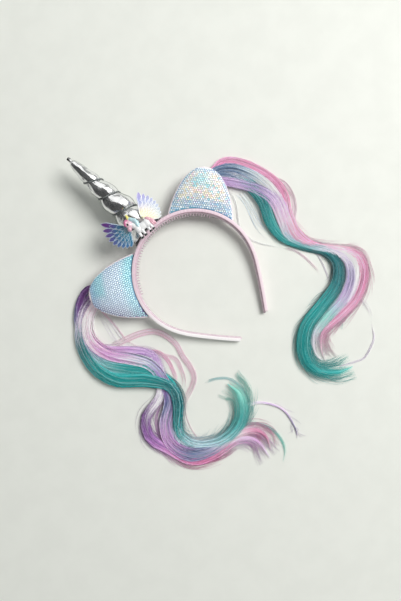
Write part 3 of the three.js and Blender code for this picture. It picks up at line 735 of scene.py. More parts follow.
def twisted_cord():
    """Two plies laid round each other in the horn's groove."""
    down = np.linspace(26, HORN_LENGTH - 6, 540)
    angle = 2 * np.pi * (down - FIRST_GROOVE) / HORN_PITCH
    route = on_horn(down, angle, 0.7)
    ahead = np.gradient(route, axis=0)
    ahead /= np.linalg.norm(ahead, axis=1, keepdims=True)
    out = np.column_stack([np.sin(angle), np.zeros_like(angle), np.cos(angle)])
    beside = np.cross(ahead, out)
    run = np.concatenate([[0], np.cumsum(np.linalg.norm(np.diff(route, axis=0), axis=1))])
    plies = []
    for start in (0, np.pi):
        twist = 2 * np.pi * run / 3.4 + start
        plies.append(route + 0.33 * (out * np.cos(twist)[:, None] + beside * np.sin(twist)[:, None]))
    size = np.full((2, len(down)), 0.38)
    points, faces = tubes(np.array(plies), size, size, 6, np.array([beside, beside]))
    look = finish("twisted silver cord", grained("a9adae", "6e7474", 900, 0.05, (0.25, 0.4)),
                  Metallic=1.0)
    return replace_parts(piece("twisted_cord", laid(points), faces, look), "horn_cord")


# Ears

def ear_form(across, rise, tall):
    """Where a share across and up an ear is, and how thick its panel is there."""
    x = across * EAR_WIDTH / 2 * np.sqrt(1 - rise ** 1.4)
    foot = np.sqrt(EAR_SEAT ** 2 - x ** 2)
    y = foot + rise * (EAR_SEAT + tall - foot)
    swell = (0.7 + 0.3 * np.sin(np.pi * rise)) * np.sqrt(1 - rise ** 4)
    return x, y, EAR_EDGE + (EAR_PUFF - EAR_EDGE) * swell * np.sqrt(1 - across ** 2)


def ear_height(x, y, tall):
    """How thick a panel is at a place on the ear, and its shares across and up the ear."""
    foot = np.sqrt(EAR_SEAT ** 2 - x ** 2)
    rise = np.clip((y - foot) / (EAR_SEAT + tall - foot), 0, 1)
    half = EAR_WIDTH / 2 * np.sqrt(1 - rise ** 1.4)
    across = np.clip(x / np.maximum(half, 1e-6), -1, 1)
    return ear_form(across, rise, tall)[2], across, rise


def ear_panel(side, pucker, tall):
    """A panel's padded skin and its flat inner face, in the ear's frame."""
    columns, rows = 65, 41
    across = np.sin(np.linspace(-1, 1, columns) * np.pi / 2)[None]
    rise = np.sin(np.linspace(0, 1, rows) * np.pi / 2)[:, None]
    x, y, thick = ear_form(across, rise, tall)
    rim = np.maximum(np.abs(across) ** 6, rise ** 6)
    round_rim = np.arctan2(x, y - EAR_SEAT + 6)
    thick = thick - pucker * rim * (0.5 + 0.5 * np.sin(46 * round_rim)) * np.minimum(1, rise * 4)
    front = np.stack([x, y, side * (GAP / 2 + thick)], axis=-1)
    back = np.stack([x, y, np.full_like(x, side * GAP / 2)], axis=-1)
    points = np.concatenate([front.reshape(-1, 3), back.reshape(-1, 3)])
    across, rise = np.broadcast_arrays(across, rise)
    return points, walled(rows, columns, side < 0), across, rise


# Tones of the sequins and of the cloth that shows between them
PEARL = {name: tone_of(shade) for name, shade in {
    "ice": "dff1fa", "aqua": "a5e8f0", "lavender": "e2e5f8", "sky": "a9cdf0", "pearl": "ffffff",
    "cream": "fff8da", "peach": "ffdfc8", "petal": "ffdde6", "blush": "f6ebf1",
    "gap": "8fa8d2", "gap aqua": "6fb2ca", "gap plum": "8578ac",
    "gap warm": "c9c6cf"}.items()}
# The mixed sequins in the heart of the right ear
HEART_TONES = ["pearl", "cream", "pearl", "peach", "cream", "petal", "cream", "aqua", "pearl", "ice"]


def aqua_share(side, up):
    """Where a cool ear turns to aqua: along its foot, and along its upper edge near the tip."""
    foot = eased((0.34 - up) / 0.26) * (0.55 + 0.35 * eased((side + 0.2) / 0.6))
    edge = eased((up - 0.55) / 0.15) * eased((side + 0.35) / 0.5) * (1 - eased((up - 0.86) / 0.1))
    return np.clip(foot + 0.7 * edge, 0, 0.9)


def warm_border(side, up):
    """The pale blue border round the warm heart of the right ear."""
    return np.maximum(eased((np.abs(side) - 0.72) / 0.2), eased((up - 0.8) / 0.12))


def ground_tint(name, across, rise):
    """The cloth under the sequins: deeper at the sides, with a pale seam allowance."""
    side = (across if name == "left" else -across)[..., None]
    up = rise[..., None]
    tint = blended(PEARL["gap"], PEARL["gap aqua"], aqua_share(side, up))
    if name == "right":
        warm = (1 - warm_border(side, up)) * eased((up - 0.22) / 0.08)
        tint = blended(tint, PEARL["gap warm"], warm)
    plum = eased((-side - 0.35) / 0.5) * (0.9 if name == "left" else 0.2)
    tint = blended(tint, PEARL["gap plum"], plum)
    bare = np.maximum(np.abs(across), rise)[..., None] > BARE_FROM
    return np.where(bare, PEARL["blush"], tint)


def sequin_tints(name, row, across, rise, rng):
    """Iridescent shades: cool on the left ear, and a bright warm heart on the right one."""
    pick = rng.random(len(across))[:, None]
    side, up = across[:, None], rise[:, None]
    if name == "left":
        tint = blended(PEARL["ice"], PEARL["aqua"], aqua_share(side, up))
        lavender = eased((-0.1 - side) / 0.7) * eased((up - 0.2) / 0.3) * 0.45
        tint = blended(tint, PEARL["lavender"], lavender)
        tint = blended(tint, PEARL["sky"], eased((up - 0.72) / 0.2) * 0.5)
        return np.clip(tint * (0.95 + 0.1 * pick), 0, 1)
    heart = np.array([PEARL[HEART_TONES[int(p * 9.999)]] for p in pick[:, 0]])
    pool = np.exp(-((side + 0.15) / 0.45) ** 2 - ((up - 0.68) / 0.16) ** 2)
    heart = blended(heart, PEARL["aqua"], np.clip(pool * 0.9, 0, 1))
    heart = blended(heart, PEARL["ice"], warm_border(side, up) * 0.85)
    band = np.where(row[:, None] % 2 == 0, PEARL["sky"], PEARL["ice"])
    heart = blended(heart, band, eased((0.24 - up) / 0.06) * 0.6)
    return np.clip(heart * (0.92 + 0.16 * rng.random((len(pick), 1))), 0, 1)


def sequins(name):
    """Rows of small cupped sequins, sewn on side by side."""
    rng = np.random.default_rng(len(name))
    tall = EAR_HEIGHTS[name]
    askew = 0.03 if name == "left" else 0.08
    step = SEQUIN_PITCH * math.sqrt(3) / 2
    places = []
    for row, y in enumerate(np.arange(SEQUIN_LOWEST, EAR_SEAT + tall, step)):
        start = -EAR_WIDTH / 2 + (SEQUIN_PITCH / 2 if row % 2 else 0)
        places += [(x, y, row) for x in np.arange(start, EAR_WIDTH / 2 + 1, SEQUIN_PITCH)]
    where = np.array(places)
    row, where = where[:, 2].astype(int), where[:, :2] + rng.normal(0, askew / 2, (len(where), 2))
    _, across, rise = ear_height(where[:, 0], where[:, 1], tall)
    foot = np.sqrt(EAR_SEAT ** 2 - where[:, 0] ** 2)
    keep = np.maximum(np.abs(across), rise) < SEQUIN_REACH
    keep &= where[:, 1] > foot + 1
    row, where, across, rise = row[keep], where[keep], across[keep], rise[keep]
    small = 0.05
    high = ear_height(where[:, 0], where[:, 1], tall)[0]
    slope_x = (ear_height(where[:, 0] + small, where[:, 1], tall)[0] - high) / small
    slope_y = (ear_height(where[:, 0], where[:, 1] + small, tall)[0] - high) / small
    slope_x = np.clip(slope_x, -1.6, 1.6) + rng.normal(0, askew, len(high))
    slope_y = np.clip(slope_y, -1.6, 1.6) + rng.normal(0.05, askew, len(high))
    sides = 10
    turn = circle(sides)
    rings = []
    for radius, rise_up in SEQUIN_RINGS:
        dx = radius * np.cos(turn)[None] / np.sqrt(1 + slope_x ** 2)[:, None]
        dy = radius * np.sin(turn)[None] / np.sqrt(1 + slope_y ** 2)[:, None]
        dz = dx * slope_x[:, None] + dy * slope_y[:, None] + rise_up
        rings.append(np.stack([where[:, :1] + dx, where[:, 1:] + dy,
                               GAP / 2 + high[:, None] + dz], axis=-1))
    points = np.stack(rings, axis=1)
    each = len(rings) * sides
    quads = net(len(rings), sides, wrap=True, flip=True)[None]
    quads = (quads + np.arange(len(where))[:, None, None] * each).reshape(-1, 4)
    tint = sequin_tints(name, row, across, rise, rng)
    return points.reshape(-1, 3), [quads], np.repeat(tint, each, axis=0)


def ears():
    """Two padded ears: a sequined front and a satin back that meet in a seam."""
    cloth = finish("sequin ground", painted(700, 0.1, 0.6, 0.2), Sheen_Weight=0.2)
    discs = finish("iridescent sequins", painted(500, 0.02, 0.28, 0.08), Metallic=0.08,
                   Coat_Weight=0.5, Coat_Roughness=0.12)
    lilac = finish("lilac satin", satin("dcc6de", "efe2ee"), Sheen_Weight=0.3)
    for name, turn in EAR_TURNS.items():
        points, faces, across, rise = ear_panel(1, 0.25, EAR_HEIGHTS[name])
        tint = ground_tint(name, across, rise)
        front = piece(f"ear_{name}_ground", laid(spun(points, turn, 2)), faces, cloth,
                      np.concatenate([tint.reshape(-1, 3)] * 2))
        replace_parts(front, f"ear_{name}_front")
        points, faces, tint = sequins(name)
        piece(f"ear_{name}_sequins", laid(spun(points, turn, 2)), faces, discs, tint)
        points, faces, across, rise = ear_panel(-1, 0.5, EAR_HEIGHTS[name])
        held = np.maximum(np.abs(across), 1 - rise * 8) > 0.97
        held = np.concatenate([(held | (rise > 0.985)).ravel(), np.ones(across.size, bool)]) * 1.0
        points = stuffed(points, faces, held, 0.02, 0.8, 3)
        back = piece(f"ear_{name}_satin", laid(spun(points, turn, 2)), faces, lilac)
        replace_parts(back, f"ear_{name}_back")


# Charm

def set_on_charm(points):
    return laid(spun(spun(points, CHARM_TURN, 2), CHARM_LEAN, 0) + CHARM_AT)


# A feather's outline: shares of its length and of its half width
FEATHER_OUTLINE = [(0, 0.45), (0.4, 0.9), (0.8, 0.85), (1, 0)]
# Layers of feathers: count, share of the reach, share of the width, share of the thickness
FEATHER_LAYERS = [(9, 1, 1, 1), (7, 0.68, 0.95, 1.6), (5, 0.42, 0.95, 2.2)]
# Shades from the root of a feather to its tip, for the highest and the lowest feathers
WING_SHADES = {
    "left": (["7fa4ba", "4a829e", "40648a", "5c4a8a", "63307c", "5c3274"],
             ["8fbcc6", "4a94ae", "3c80a4", "4a7cac", "5c74a8", "6a78ac"]),
    "right": (["fbf3cc", "f6ecc4", "dcd8e4", "a4b0e0", "a6a0dc", "b0a6dc"],
              ["fbf3cc", "faf0c0", "f3efd4", "e6ecdf", "c6dcf0", "b4cfec"]),
}


def feather(length, width, thick, angle, ramp, rim, reach):
    """A cast feather with a quill and a pale rim, in the tones of ramp over the wing's reach."""
    rows, columns = 15, 13
    along = np.linspace(0, 1, rows)
    stops = np.array(FEATHER_OUTLINE)
    half = np.interp(along, stops[:, 0], stops[:, 1]) * width / 2
    half[-4:] = width / 2 * 0.9 * np.maximum(0, 1 - ((along[-4:] - 0.75) / 0.25) ** 1.7)
    v = np.linspace(-1, 1, columns)
    x = np.broadcast_to(along[:, None] * length, (rows, columns))
    y = v[None] * half[:, None]
    quill = np.exp(-(v[None] / 0.13) ** 2) * 0.25 * (1 - along[:, None])
    lip = np.exp(-((np.abs(v[None]) - 0.86) / 0.13) ** 2) * 0.22
    z = thick - 0.35 + quill + lip - 0.1 * v[None] ** 2
    top = np.stack([x, y, np.broadcast_to(z, x.shape)], axis=-1)
    base = np.stack([x, y, np.zeros_like(x)], axis=-1)
    far = np.clip(x / reach * (len(ramp) - 1), 0, len(ramp) - 1.001)
    low = far.astype(int)
    shade = blended(ramp[low], ramp[low + 1], (far - low)[..., None])
    pale = np.maximum(eased((np.abs(v[None]) - 0.68) / 0.18), eased((along[:, None] - 0.94) / 0.05))
    shade = blended(shade, rim, pale[..., None] * 0.9)
    points = np.concatenate([top.reshape(-1, 3), base.reshape(-1, 3)])
    tint = np.concatenate([shade.reshape(-1, 3)] * 2)
    return spun(points, angle, 2), walled(rows, columns, turned=True), tint


def cast_wings():
    """Two wings, each of three layers of feathers that fan out from its root."""
    look = finish("painted cast wings", painted(700, 0.03, 0.3, 0.15), Coat_Weight=0.4)
    for name, side in (("left", -1), ("right", 1)):
        rim = tone_of("c4d4e2" if name == "left" else "fbfcff")
        top, low = (np.array([tone_of(s) for s in ramp]) for ramp in WING_SHADES[name])
        far, near, highest, lowest = WING_SPREAD[name]
        parts = []
        for count, reach, width, thick in FEATHER_LAYERS:
            for i in range(count):
                share = i / (count - 1)
                angle = math.radians(blended(highest, lowest, share))
                length = reach * blended(far, near, share ** 0.7)
                parts.append(feather(length, FEATHER_WIDTH * width, WING_THICK * thick, angle,
                                     blended(top, low, share), rim, far))
        points, faces, tint = gathered(parts)
        points = (points + WING_ROOT) * [side, 1, 1]
        if side < 0:
            faces = [f[:, ::-1] for f in faces]
        points = spun(points, side * WING_SWEEP, 1) + [WING_OFFSET, 0, 0]
        made = piece(f"cast_wing_{name}", set_on_charm(points), faces, look, tint)
        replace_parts(made, f"wing_{name}")


# Masses of the little unicorn, as shares of its height: place, half sizes, turn in degrees, paint
FIGURE_MASSES = [
    (0.05, 0.38, 0.09, 0.27, 0.155, 0.11, 0, "body"),
    (-0.17, 0.40, 0.09, 0.14, 0.175, 0.12, 0, "body"),
    (0.24, 0.37, 0.09, 0.15, 0.175, 0.12, 0, "body"),
    (-0.21, 0.57, 0.09, 0.11, 0.21, 0.10, 20, "body"),
    (-0.34, 0.74, 0.09, 0.15, 0.16, 0.13, 0, "face"),
    (-0.43, 0.60, 0.09, 0.095, 0.11, 0.105, -25, "muzzle"),
    (-0.25, 0.90, 0.09, 0.04, 0.085, 0.045, -10, "face"),
    (-0.42, 0.88, 0.13, 0.085, 0.07, 0.07, 30, "pink"),
    (-0.36, 0.93, 0.12, 0.08, 0.06, 0.07, -10, "pink"),
    (-0.47, 0.80, 0.14, 0.045, 0.08, 0.05, 12, "pink"),
    (-0.14, 0.83, 0.12, 0.075, 0.14, 0.08, 22, "mane"),
    (-0.07, 0.69, 0.13, 0.09, 0.19, 0.09, 14, "mane"),
    (-0.09, 0.54, 0.15, 0.07, 0.16, 0.07, -4, "mane"),
    (0.37, 0.45, 0.10, 0.08, 0.15, 0.09, 30, "tail"),
    (0.45, 0.29, 0.10, 0.08, 0.19, 0.09, 12, "tail"),
    (0.39, 0.27, 0.13, 0.055, 0.15, 0.06, 8, "tail"),
]
FIGURE_LEGS = [(-0.24, 0.06), (-0.07, 0.11), (0.17, 0.06), (0.31, 0.11)]
FIGURE_PAINT = {
    "body": "f3f3f5", "face": "ecccd8", "muzzle": "e2b2c2", "pink": "cf6f9c", "mane": "c0e0e8",
    "tail": "e8b0c0", "hoof": "17161a", "horn": "f0e884", "eye": "141318",
}
# The paints that carry stripes of painted shade and light, for grooves that the mesh does not have
GROOVE_SHADED = ["mane", "tail"]
EYE_AT = [-0.385, 0.76, 0.2]
EYE_HALVES = [0.035, 0.045, 0.1]


def blob(centre, halves, turn):
    sides, rows = 20, 12
    lat = np.linspace(0, np.pi, rows)[:, None]
    lon = circle(sides)[None]
    ball = np.stack([np.sin(lat) * np.cos(lon), np.sin(lat) * np.sin(lon),
                     np.broadcast_to(np.cos(lat), (rows, sides))], axis=-1)
    points = spun(ball * halves, math.radians(turn), 2) + centre
    return points.reshape(-1, 3), [net(rows, sides, wrap=True)]


def rod(low, high, low_radius, high_radius):
    sides, rows = 14, 8
    share = np.linspace(0, 1, rows)[:, None, None]
    turn = circle(sides)
    ring = np.stack([np.cos(turn), np.zeros(sides), np.sin(turn)], axis=-1)[None]
    points = (blended(np.array(low), np.array(high), share)
              + ring * blended(low_radius, high_radius, share))
    return points, capped(points)


def figure_forms():
    """The figure's rounded forms, and the masses that its paint goes by."""
    size = FIGURE_HEIGHT
    forms, masses = [], []
    for x, y, z, wide, high, deep, turn, paint in FIGURE_MASSES:
        forms.append(blob(np.array([x, y, z]) * size, np.array([wide, high, deep]) * size, turn))
        masses.append(((x, y, z), (wide, high, deep), turn, paint))
    for x, z in FIGURE_LEGS:
        forms.append(rod([x * size, 1, z * size], [x * size, 8.5, z * size], 1.25, 1.6))
        forms.append(rod([x * size - 0.15, 0, z * size], [x * size, 1.7, z * size], 1.75, 1.35))
        masses.append(((x, 0.2, z), (0.07, 0.16, 0.07), 0, "body"))
        masses.append(((x, 0.02, z), (0.09, 0.06, 0.09), 0, "hoof"))
    forms.append(rod([-0.235 * size, 0.9 * size, 0.1 * size],
                     [-0.2 * size, 1.12 * size, 0.1 * size], 1.9, 0.9))
    masses.append(((-0.21, 1.03, 0.1), (0.07, 0.14, 0.07), -12, "horn"))
    return forms, masses


def figure_tint(where, masses):
    """The paint of the nearest mass at each point, with stripes of painted shade and light on the hair
    for grooves that the mesh does not have.
    """
    place = where / FIGURE_HEIGHT
    best = np.full(len(where), np.inf)
    paint = np.full(len(where), "muzzle")
    for centre, halves, turn, name in masses:
        local = spun(place - np.array(centre), -math.radians(turn), 2)
        near = np.linalg.norm(local / np.array(halves), axis=1)
        paint[near < best] = name
        best = np.minimum(best, near)
    paint[np.linalg.norm((place - EYE_AT) / EYE_HALVES, axis=1) < 1] = "eye"
    tint = np.empty((len(where), 3))
    for name, shade in FIGURE_PAINT.items():
        tint[paint == name] = tone_of(shade)
    # Painted shade and light: stripes on the mane and tail.
    groove_shading = 0.78 + 0.3 * np.abs(np.sin(where[:, 0] * 2.6 + 0.5 * np.sin(where[:, 1])))
    return tint * np.where(np.isin(paint, GROOVE_SHADED), groove_shading, 1)[:, None]


def cast_unicorn():
    """A cast figure: rounded masses run together, with a flat back, painted by mass."""
    forms, masses = figure_forms()
    points, faces = joined(forms)
    look = finish("painted cast figure", painted(900, 0.03, 0.28, 0.1), Coat_Weight=0.5)
    made = piece("cast_unicorn", points, faces, look)
    remesh = made.modifiers.new("run together", "REMESH")
    remesh.mode = "VOXEL"
    remesh.voxel_size = 0.3 * MM
    remesh.use_smooth_shade = True
    smooth = made.modifiers.new("soften", "SMOOTH")
    smooth.iterations = 5
    mesh = settled(made)
    flat = np.empty(len(mesh.vertices) * 3)
    mesh.vertices.foreach_get("co", flat)
    where = flat.reshape(-1, 3) / MM
    tint_mesh(mesh, figure_tint(where, masses))
    where[:, 2] = np.maximum(where[:, 2], 0) + WING_THICK * FEATHER_LAYERS[-1][3] + GAP
    mesh.vertices.foreach_set("co", (set_on_charm(where) * MM).astype(np.float32).ravel())
    mesh.update()
    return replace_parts(made, "charm_unicorn")


# Hair

HAIR_TONES = {
    "plum": "7e4a94", "violet": "b484c8", "orchid": "dca6dc", "lilac": "e2caee",
    "pale lilac": "f0e7f7", "grey violet": "aba4c8", "slate": "6684a8", "mist": "d0deec",
    "sea grey": "8cc4c8", "deep teal": "057a82", "teal": "1aaead", "mint": "96e2d6",
    "pink": "f4b8d6", "rose": "dc86b4", "blush": "fbdfeb", "white": "ffffff",
}

# Locks of the falls, from the root to the end. Columns: across and along from the root as shares
# of the fall's drop, breadth as a share of a lock's breadth, and tone. rooted: whether it starts at
# the patch. lift: how far it lies above its place on the table, in millimetres, at even steps along
# its way. fray: the share of it in which its strands end.
LEFT_LOCKS = {
    "teal": {"rooted": True, "lift": (0.4, 0.9, 4.2, 1.6, 0.9), "strands": 340, "fray": 0.1, "rows": [
        (-0.1, 0.06, 0.65, "plum"), (-0.205, 0.03, 0.8, "pale lilac"),
        (-0.3, -0.06, 0.95, "deep teal"), (-0.345, -0.2, 1, "teal"),
        (-0.315, -0.325, 1.05, "teal"), (-0.215, -0.435, 1.05, "teal"),
        (-0.155, -0.55, 0.75, "deep teal"), (-0.2, -0.64, 0.85, "deep teal"),
        (-0.3, -0.73, 0.6, "teal"), (-0.29, -0.84, 0.6, "mist"), (-0.18, -0.93, 0.75, "sea grey"),
        (-0.04, -0.93, 1, "teal"), (0.05, -0.84, 1.1, "mint"), (0.05, -0.755, 0.8, "mint")]},
    "purple": {"rooted": True, "lift": (0.5, 0.9), "strands": 280, "fray": 0.3, "rows": [
        (-0.06, 0.1, 0.4, "plum"), (-0.15, 0.085, 0.65, "plum"), (-0.24, 0.01, 0.75, "slate"),
        (-0.275, -0.08, 0.75, "pale lilac"), (-0.24, -0.18, 0.75, "orchid"),
        (-0.155, -0.275, 0.7, "lilac"), (-0.1, -0.365, 0.6, "violet"),
        # The white row at (-0.23, -0.54) is a painted highlight.
        (-0.135, -0.46, 0.6, "pale lilac"), (-0.23, -0.54, 0.7, "white"),
        (-0.355, -0.56, 0.75, "plum"), (-0.42, -0.645, 0.8, "violet"), (-0.4, -0.76, 0.75, "orchid"),
        (-0.36, -0.89, 0.75, "rose"), (-0.24, -0.955, 0.75, "rose"),
        (-0.13, -0.98, 0.6, "pale lilac"), (-0.065, -1.06, 0.6, "orchid"),
        (-0.085, -1.175, 0.25, "pale lilac")]},
    "pink": {"rooted": True, "lift": (1.3, 1.3), "strands": 310, "fray": 0.3, "rows": [
        (-0.11, 0.02, 0.7, "blush"), (-0.2, -0.01, 1, "white"), (-0.255, -0.09, 1.1, "blush"),
        (-0.245, -0.2, 1, "orchid"), (-0.18, -0.31, 1, "pale lilac"), (-0.14, -0.4, 0.9, "mist"),
        (-0.16, -0.51, 0.85, "violet"), (-0.22, -0.6, 0.85, "slate"),
        (-0.32, -0.655, 0.85, "lilac"), (-0.37, -0.75, 0.95, "orchid"),
        (-0.34, -0.86, 1.1, "slate"), (-0.24, -0.93, 0.75, "grey violet"),
        # The white row at (-0.13, -0.955) is a painted highlight.
        (-0.13, -0.955, 0.65, "white"), (-0.04, -1.005, 0.65, "pink"),
        (-0.015, -1.075, 0.6, "rose"), (-0.05, -1.145, 0.25, "blush")]},
    "pale": {"rooted": True, "lift": (0.2, 0.4), "strands": 260, "fray": 0.3, "rows": [
        (-0.13, 0.05, 0.65, "white"), (-0.24, -0.01, 0.9, "blush"), (-0.3, -0.12, 1, "grey violet"),
        (-0.3, -0.22, 1.1, "sea grey"), (-0.24, -0.32, 1, "teal"), (-0.17, -0.42, 0.85, "teal"),
        (-0.145, -0.52, 0.7, "teal"), (-0.18, -0.61, 0.8, "deep teal"), (-0.27, -0.68, 0.9, "lilac"),
        (-0.335, -0.76, 1, "mist"), (-0.33, -0.84, 1, "mist"), (-0.26, -0.9, 0.8, "mist"),
        (-0.165, -0.94, 0.4, "sea grey")]},
    "stray": {"rooted": False, "lift": (0, 0), "strands": 20, "fray": 0.3, "rows": [
        (-0.015, -0.915, 0.3, "mint"), (0.05, -0.915, 0.3, "white"),
        (0.11, -0.97, 0.22, "lilac"), (0.145, -1.06, 0.17, "lilac"),
        (0.12, -1.16, 0.1, "grey violet"), (0.085, -1.21, 0.04, "lilac")]},
}
RIGHT_LOCKS = {
    "pink": {"rooted": True, "lift": (1, 0.3), "strands": 310, "fray": 0.3, "rows": [
        (0.08, 0.02, 0.45, "rose"), (0.175, 0.01, 0.65, "pink"), (0.24, -0.09, 0.75, "pink"),
        (0.275, -0.23, 0.6, "pink"), (0.255, -0.33, 0.7, "rose"), (0.19, -0.42, 0.75, "blush"),
        (0.155, -0.52, 0.65, "pink"), (0.17, -0.63, 0.5, "pink"), (0.24, -0.73, 0.6, "blush"),
        (0.28, -0.82, 0.75, "pink"), (0.23, -0.91, 0.75, "rose"), (0.115, -0.965, 0.65, "pink"),
        (-0.01, -0.965, 0.6, "pink"), (-0.13, -0.955, 0.5, "pink"), (-0.205, -1.01, 0.4, "blush"),
        (-0.235, -1.07, 0.25, "white")]},
    "teal": {"rooted": True, "lift": (0, 0.8, 1.8), "strands": 350, "fray": 0.2, "rows": [
        (0.08, 0.01, 0.65, "slate"), (0.15, -0.07, 0.85, "slate"), (0.165, -0.13, 0.9, "pale lilac"),
        (0.17, -0.18, 0.95, "teal"),
        (0.155, -0.28, 1, "deep teal"), (0.105, -0.37, 0.9, "teal"), (0.085, -0.47, 0.7, "teal"),
        (0.12, -0.57, 0.5, "teal"), (0.18, -0.68, 0.6, "deep teal"), (0.18, -0.77, 0.9, "deep teal"),
        (0.1, -0.84, 1.1, "deep teal"), (-0.035, -0.86, 1.15, "teal"), (-0.18, -0.88, 1.15, "teal"),
        (-0.28, -0.965, 1.1, "teal"), (-0.295, -1.06, 1, "teal"), (-0.235, -1.145, 0.85, "teal"),
        (-0.16, -1.185, 0.35, "mint")]},
    "lilac": {"rooted": True, "lift": (1.6, 0.8), "strands": 300, "fray": 0.3, "rows": [
        (0.07, -0.03, 0.65, "violet"), (0.13, -0.11, 0.75, "lilac"),
        (0.18, -0.21, 0.85, "grey violet"), (0.195, -0.31, 0.9, "lilac"),
        (0.15, -0.41, 0.85, "blush"), (0.11, -0.49, 0.65, "mist"), (0.14, -0.59, 0.5, "teal"),
        (0.2, -0.7, 0.6, "pale lilac"), (0.225, -0.79, 0.65, "pale lilac"),
        (0.17, -0.87, 0.85, "grey violet"), (0.06, -0.915, 0.85, "lilac"),
        (-0.07, -0.915, 0.85, "mint"), (-0.18, -0.93, 0.65, "pale lilac"),
        (-0.24, -1, 0.5, "white"), (-0.24, -1.05, 0.25, "pale lilac")]},
    "white": {"rooted": True, "lift": (1.6, 0.7), "strands": 280, "fray": 0.3, "rows": [
        (0.08, 0.02, 0.5, "slate"), (0.17, -0.03, 0.7, "slate"), (0.22, -0.14, 0.75, "mist"),
        (0.23, -0.25, 0.75, "white"), (0.205, -0.35, 0.85, "lilac"),
        (0.155, -0.45, 0.8, "blush"), (0.13, -0.54, 0.6, "pink"), (0.18, -0.65, 0.5, "pink"),
        (0.235, -0.75, 0.65, "white"), (0.245, -0.83, 0.7, "white"), (0.19, -0.89, 0.7, "white"),
        (0.08, -0.935, 0.6, "pale lilac"), (-0.06, -0.94, 0.35, "mint")]},
}

# Wisps beside the locks, in the same shares: tone, number of strands, breadth in millimetres
LEFT_WISPS = [
    ("blush", 60, 6, [(-0.212, -0.186), (-0.133, -0.218), (-0.062, -0.251), (-0.003, -0.301),
                        (0.019, -0.363), (0.02, -0.425), (-0.001, -0.486), (-0.015, -0.554),
                        (-0.039, -0.604), (-0.08, -0.627), (-0.154, -0.646), (-0.227, -0.664)]),
    ("pink", 20, 4, [(-0.134, -0.316), (-0.072, -0.377), (-0.068, -0.443), (-0.085, -0.493),
                       (-0.112, -0.539), (-0.161, -0.569)]),
    ("blush", 24, 5, [(-0.142, -0.254), (-0.092, -0.347), (-0.063, -0.41), (-0.033, -0.473),
                        (-0.054, -0.534), (-0.089, -0.587), (-0.141, -0.614)]),
    ("blush", 16, 1.6, [(-0.109, -0.009), (-0.112, -0.067), (-0.119, -0.143), (-0.133, -0.218),
                        (-0.119, -0.288)]),
    ("white", 16, 1.8, [(-0.113, -0.005), (-0.16, -0.021), (-0.198, -0.049), (-0.229, -0.098),
                        (-0.232, -0.156)]),
    ("orchid", 16, 2.6, [(-0.164, -0.558), (-0.259, -0.575), (-0.333, -0.608), (-0.388, -0.685),
                         (-0.384, -0.765)]),
    ("rose", 10, 1.6, [(-0.189, -0.56), (-0.268, -0.604), (-0.326, -0.677), (-0.388, -0.7)]),
    ("mint", 26, 2.6, [(-0.081, -0.961), (-0.017, -0.986), (0.014, -1.03), (0.032, -1.09),
                       (0.022, -1.16), (-0.009, -1.21), (-0.055, -1.24)]),
    ("sea grey", 10, 3, [(-0.031, -0.659), (0.029, -0.694), (0.071, -0.74), (0.085, -0.809),
                         (0.063, -0.892), (0.032, -0.948), (-0.017, -0.986)]),
    ("blush", 8, 7, [(-0.283, -0.846), (-0.261, -0.764), (-0.221, -0.693), (-0.161, -0.645),
                     (-0.088, -0.634)]),
    ("pale lilac", 12, 12, [(-0.11, -0.02), (-0.13, -0.1), (-0.15, -0.18), (-0.16, -0.27)]),
]
RIGHT_WISPS = [
    ("white", 10, 2.4, [(0.085, -0.103), (0.06, -0.174), (0.002, -0.248), (-0.029, -0.297),
                             (-0.022, -0.381), (0.028, -0.474), (0.071, -0.552)]),
    ("blush", 12, 1.8, [(0.055, -0.519), (0.081, -0.571), (0.089, -0.633), (0.087, -0.691),
                        (0.08, -0.752)]),
    ("pale lilac", 10, 2.4, [(0.11, -0.572), (0.143, -0.639), (0.129, -0.707), (0.097, -0.778),
                        (0.062, -0.831)]),
    ("pale lilac", 16, 1.6, [(-0.217, -1.13), (-0.132, -1.18), (-0.086, -1.2), (-0.031, -1.19),
                            (0.021, -1.17), (0.055, -1.13), (0.086, -1.09)]),
    ("blush", 22, 4, [(0.289, -0.243), (0.301, -0.294), (0.287, -0.355), (0.248, -0.412),
                      (0.192, -0.456), (0.157, -0.502), (0.151, -0.563)]),
    ("pale lilac", 8, 5, [(0.127, -0.917), (0.128, -0.972), (0.117, -1.04), (0.093, -1.09)]),
    ("mist", 16, 12, [(0.12, -0.15), (0.1, -0.24), (0.06, -0.34), (0.06, -0.43)]),
]


def smooth_line(rows, steps):
    """A smooth curve through rows, evenly spaced along its length."""
    rows = np.asarray(rows, dtype=float)
    ends = np.concatenate([[2 * rows[0] - rows[1]], rows, [2 * rows[-1] - rows[-2]]])
    t = np.linspace(0, len(rows) - 1, 400)
    i = np.minimum(t.astype(int), len(rows) - 2)
    f = (t - i)[:, None]
    a, b, c, d = (ends[i + k] for k in range(4))
    line = 0.5 * (2 * b + (c - a) * f + (2 * a - 5 * b + 4 * c - d) * f ** 2
                  + (3 * b - a - 3 * c + d) * f ** 3)
    line[:, 2:] = b[:, 2:] + (c - b)[:, 2:] * f
    run = np.concatenate([[0], np.cumsum(np.linalg.norm(np.diff(line[:, :2], axis=0), axis=1))])
    even = np.linspace(0, run[-1], steps)
    return np.stack([np.interp(even, run, line[:, k]) for k in range(line.shape[1])], axis=-1), even


def ear_root(turn, tall):
    """Where a fall's locks leave the patch on the back of an ear, in the part's frame."""
    _, y, thick = ear_form(0, PATCH_MIDDLE / tall, tall)
    return laid(spun(np.array([0, y, -(GAP / 2 + thick + GAP + PATCH_THICK)]), turn, 2))


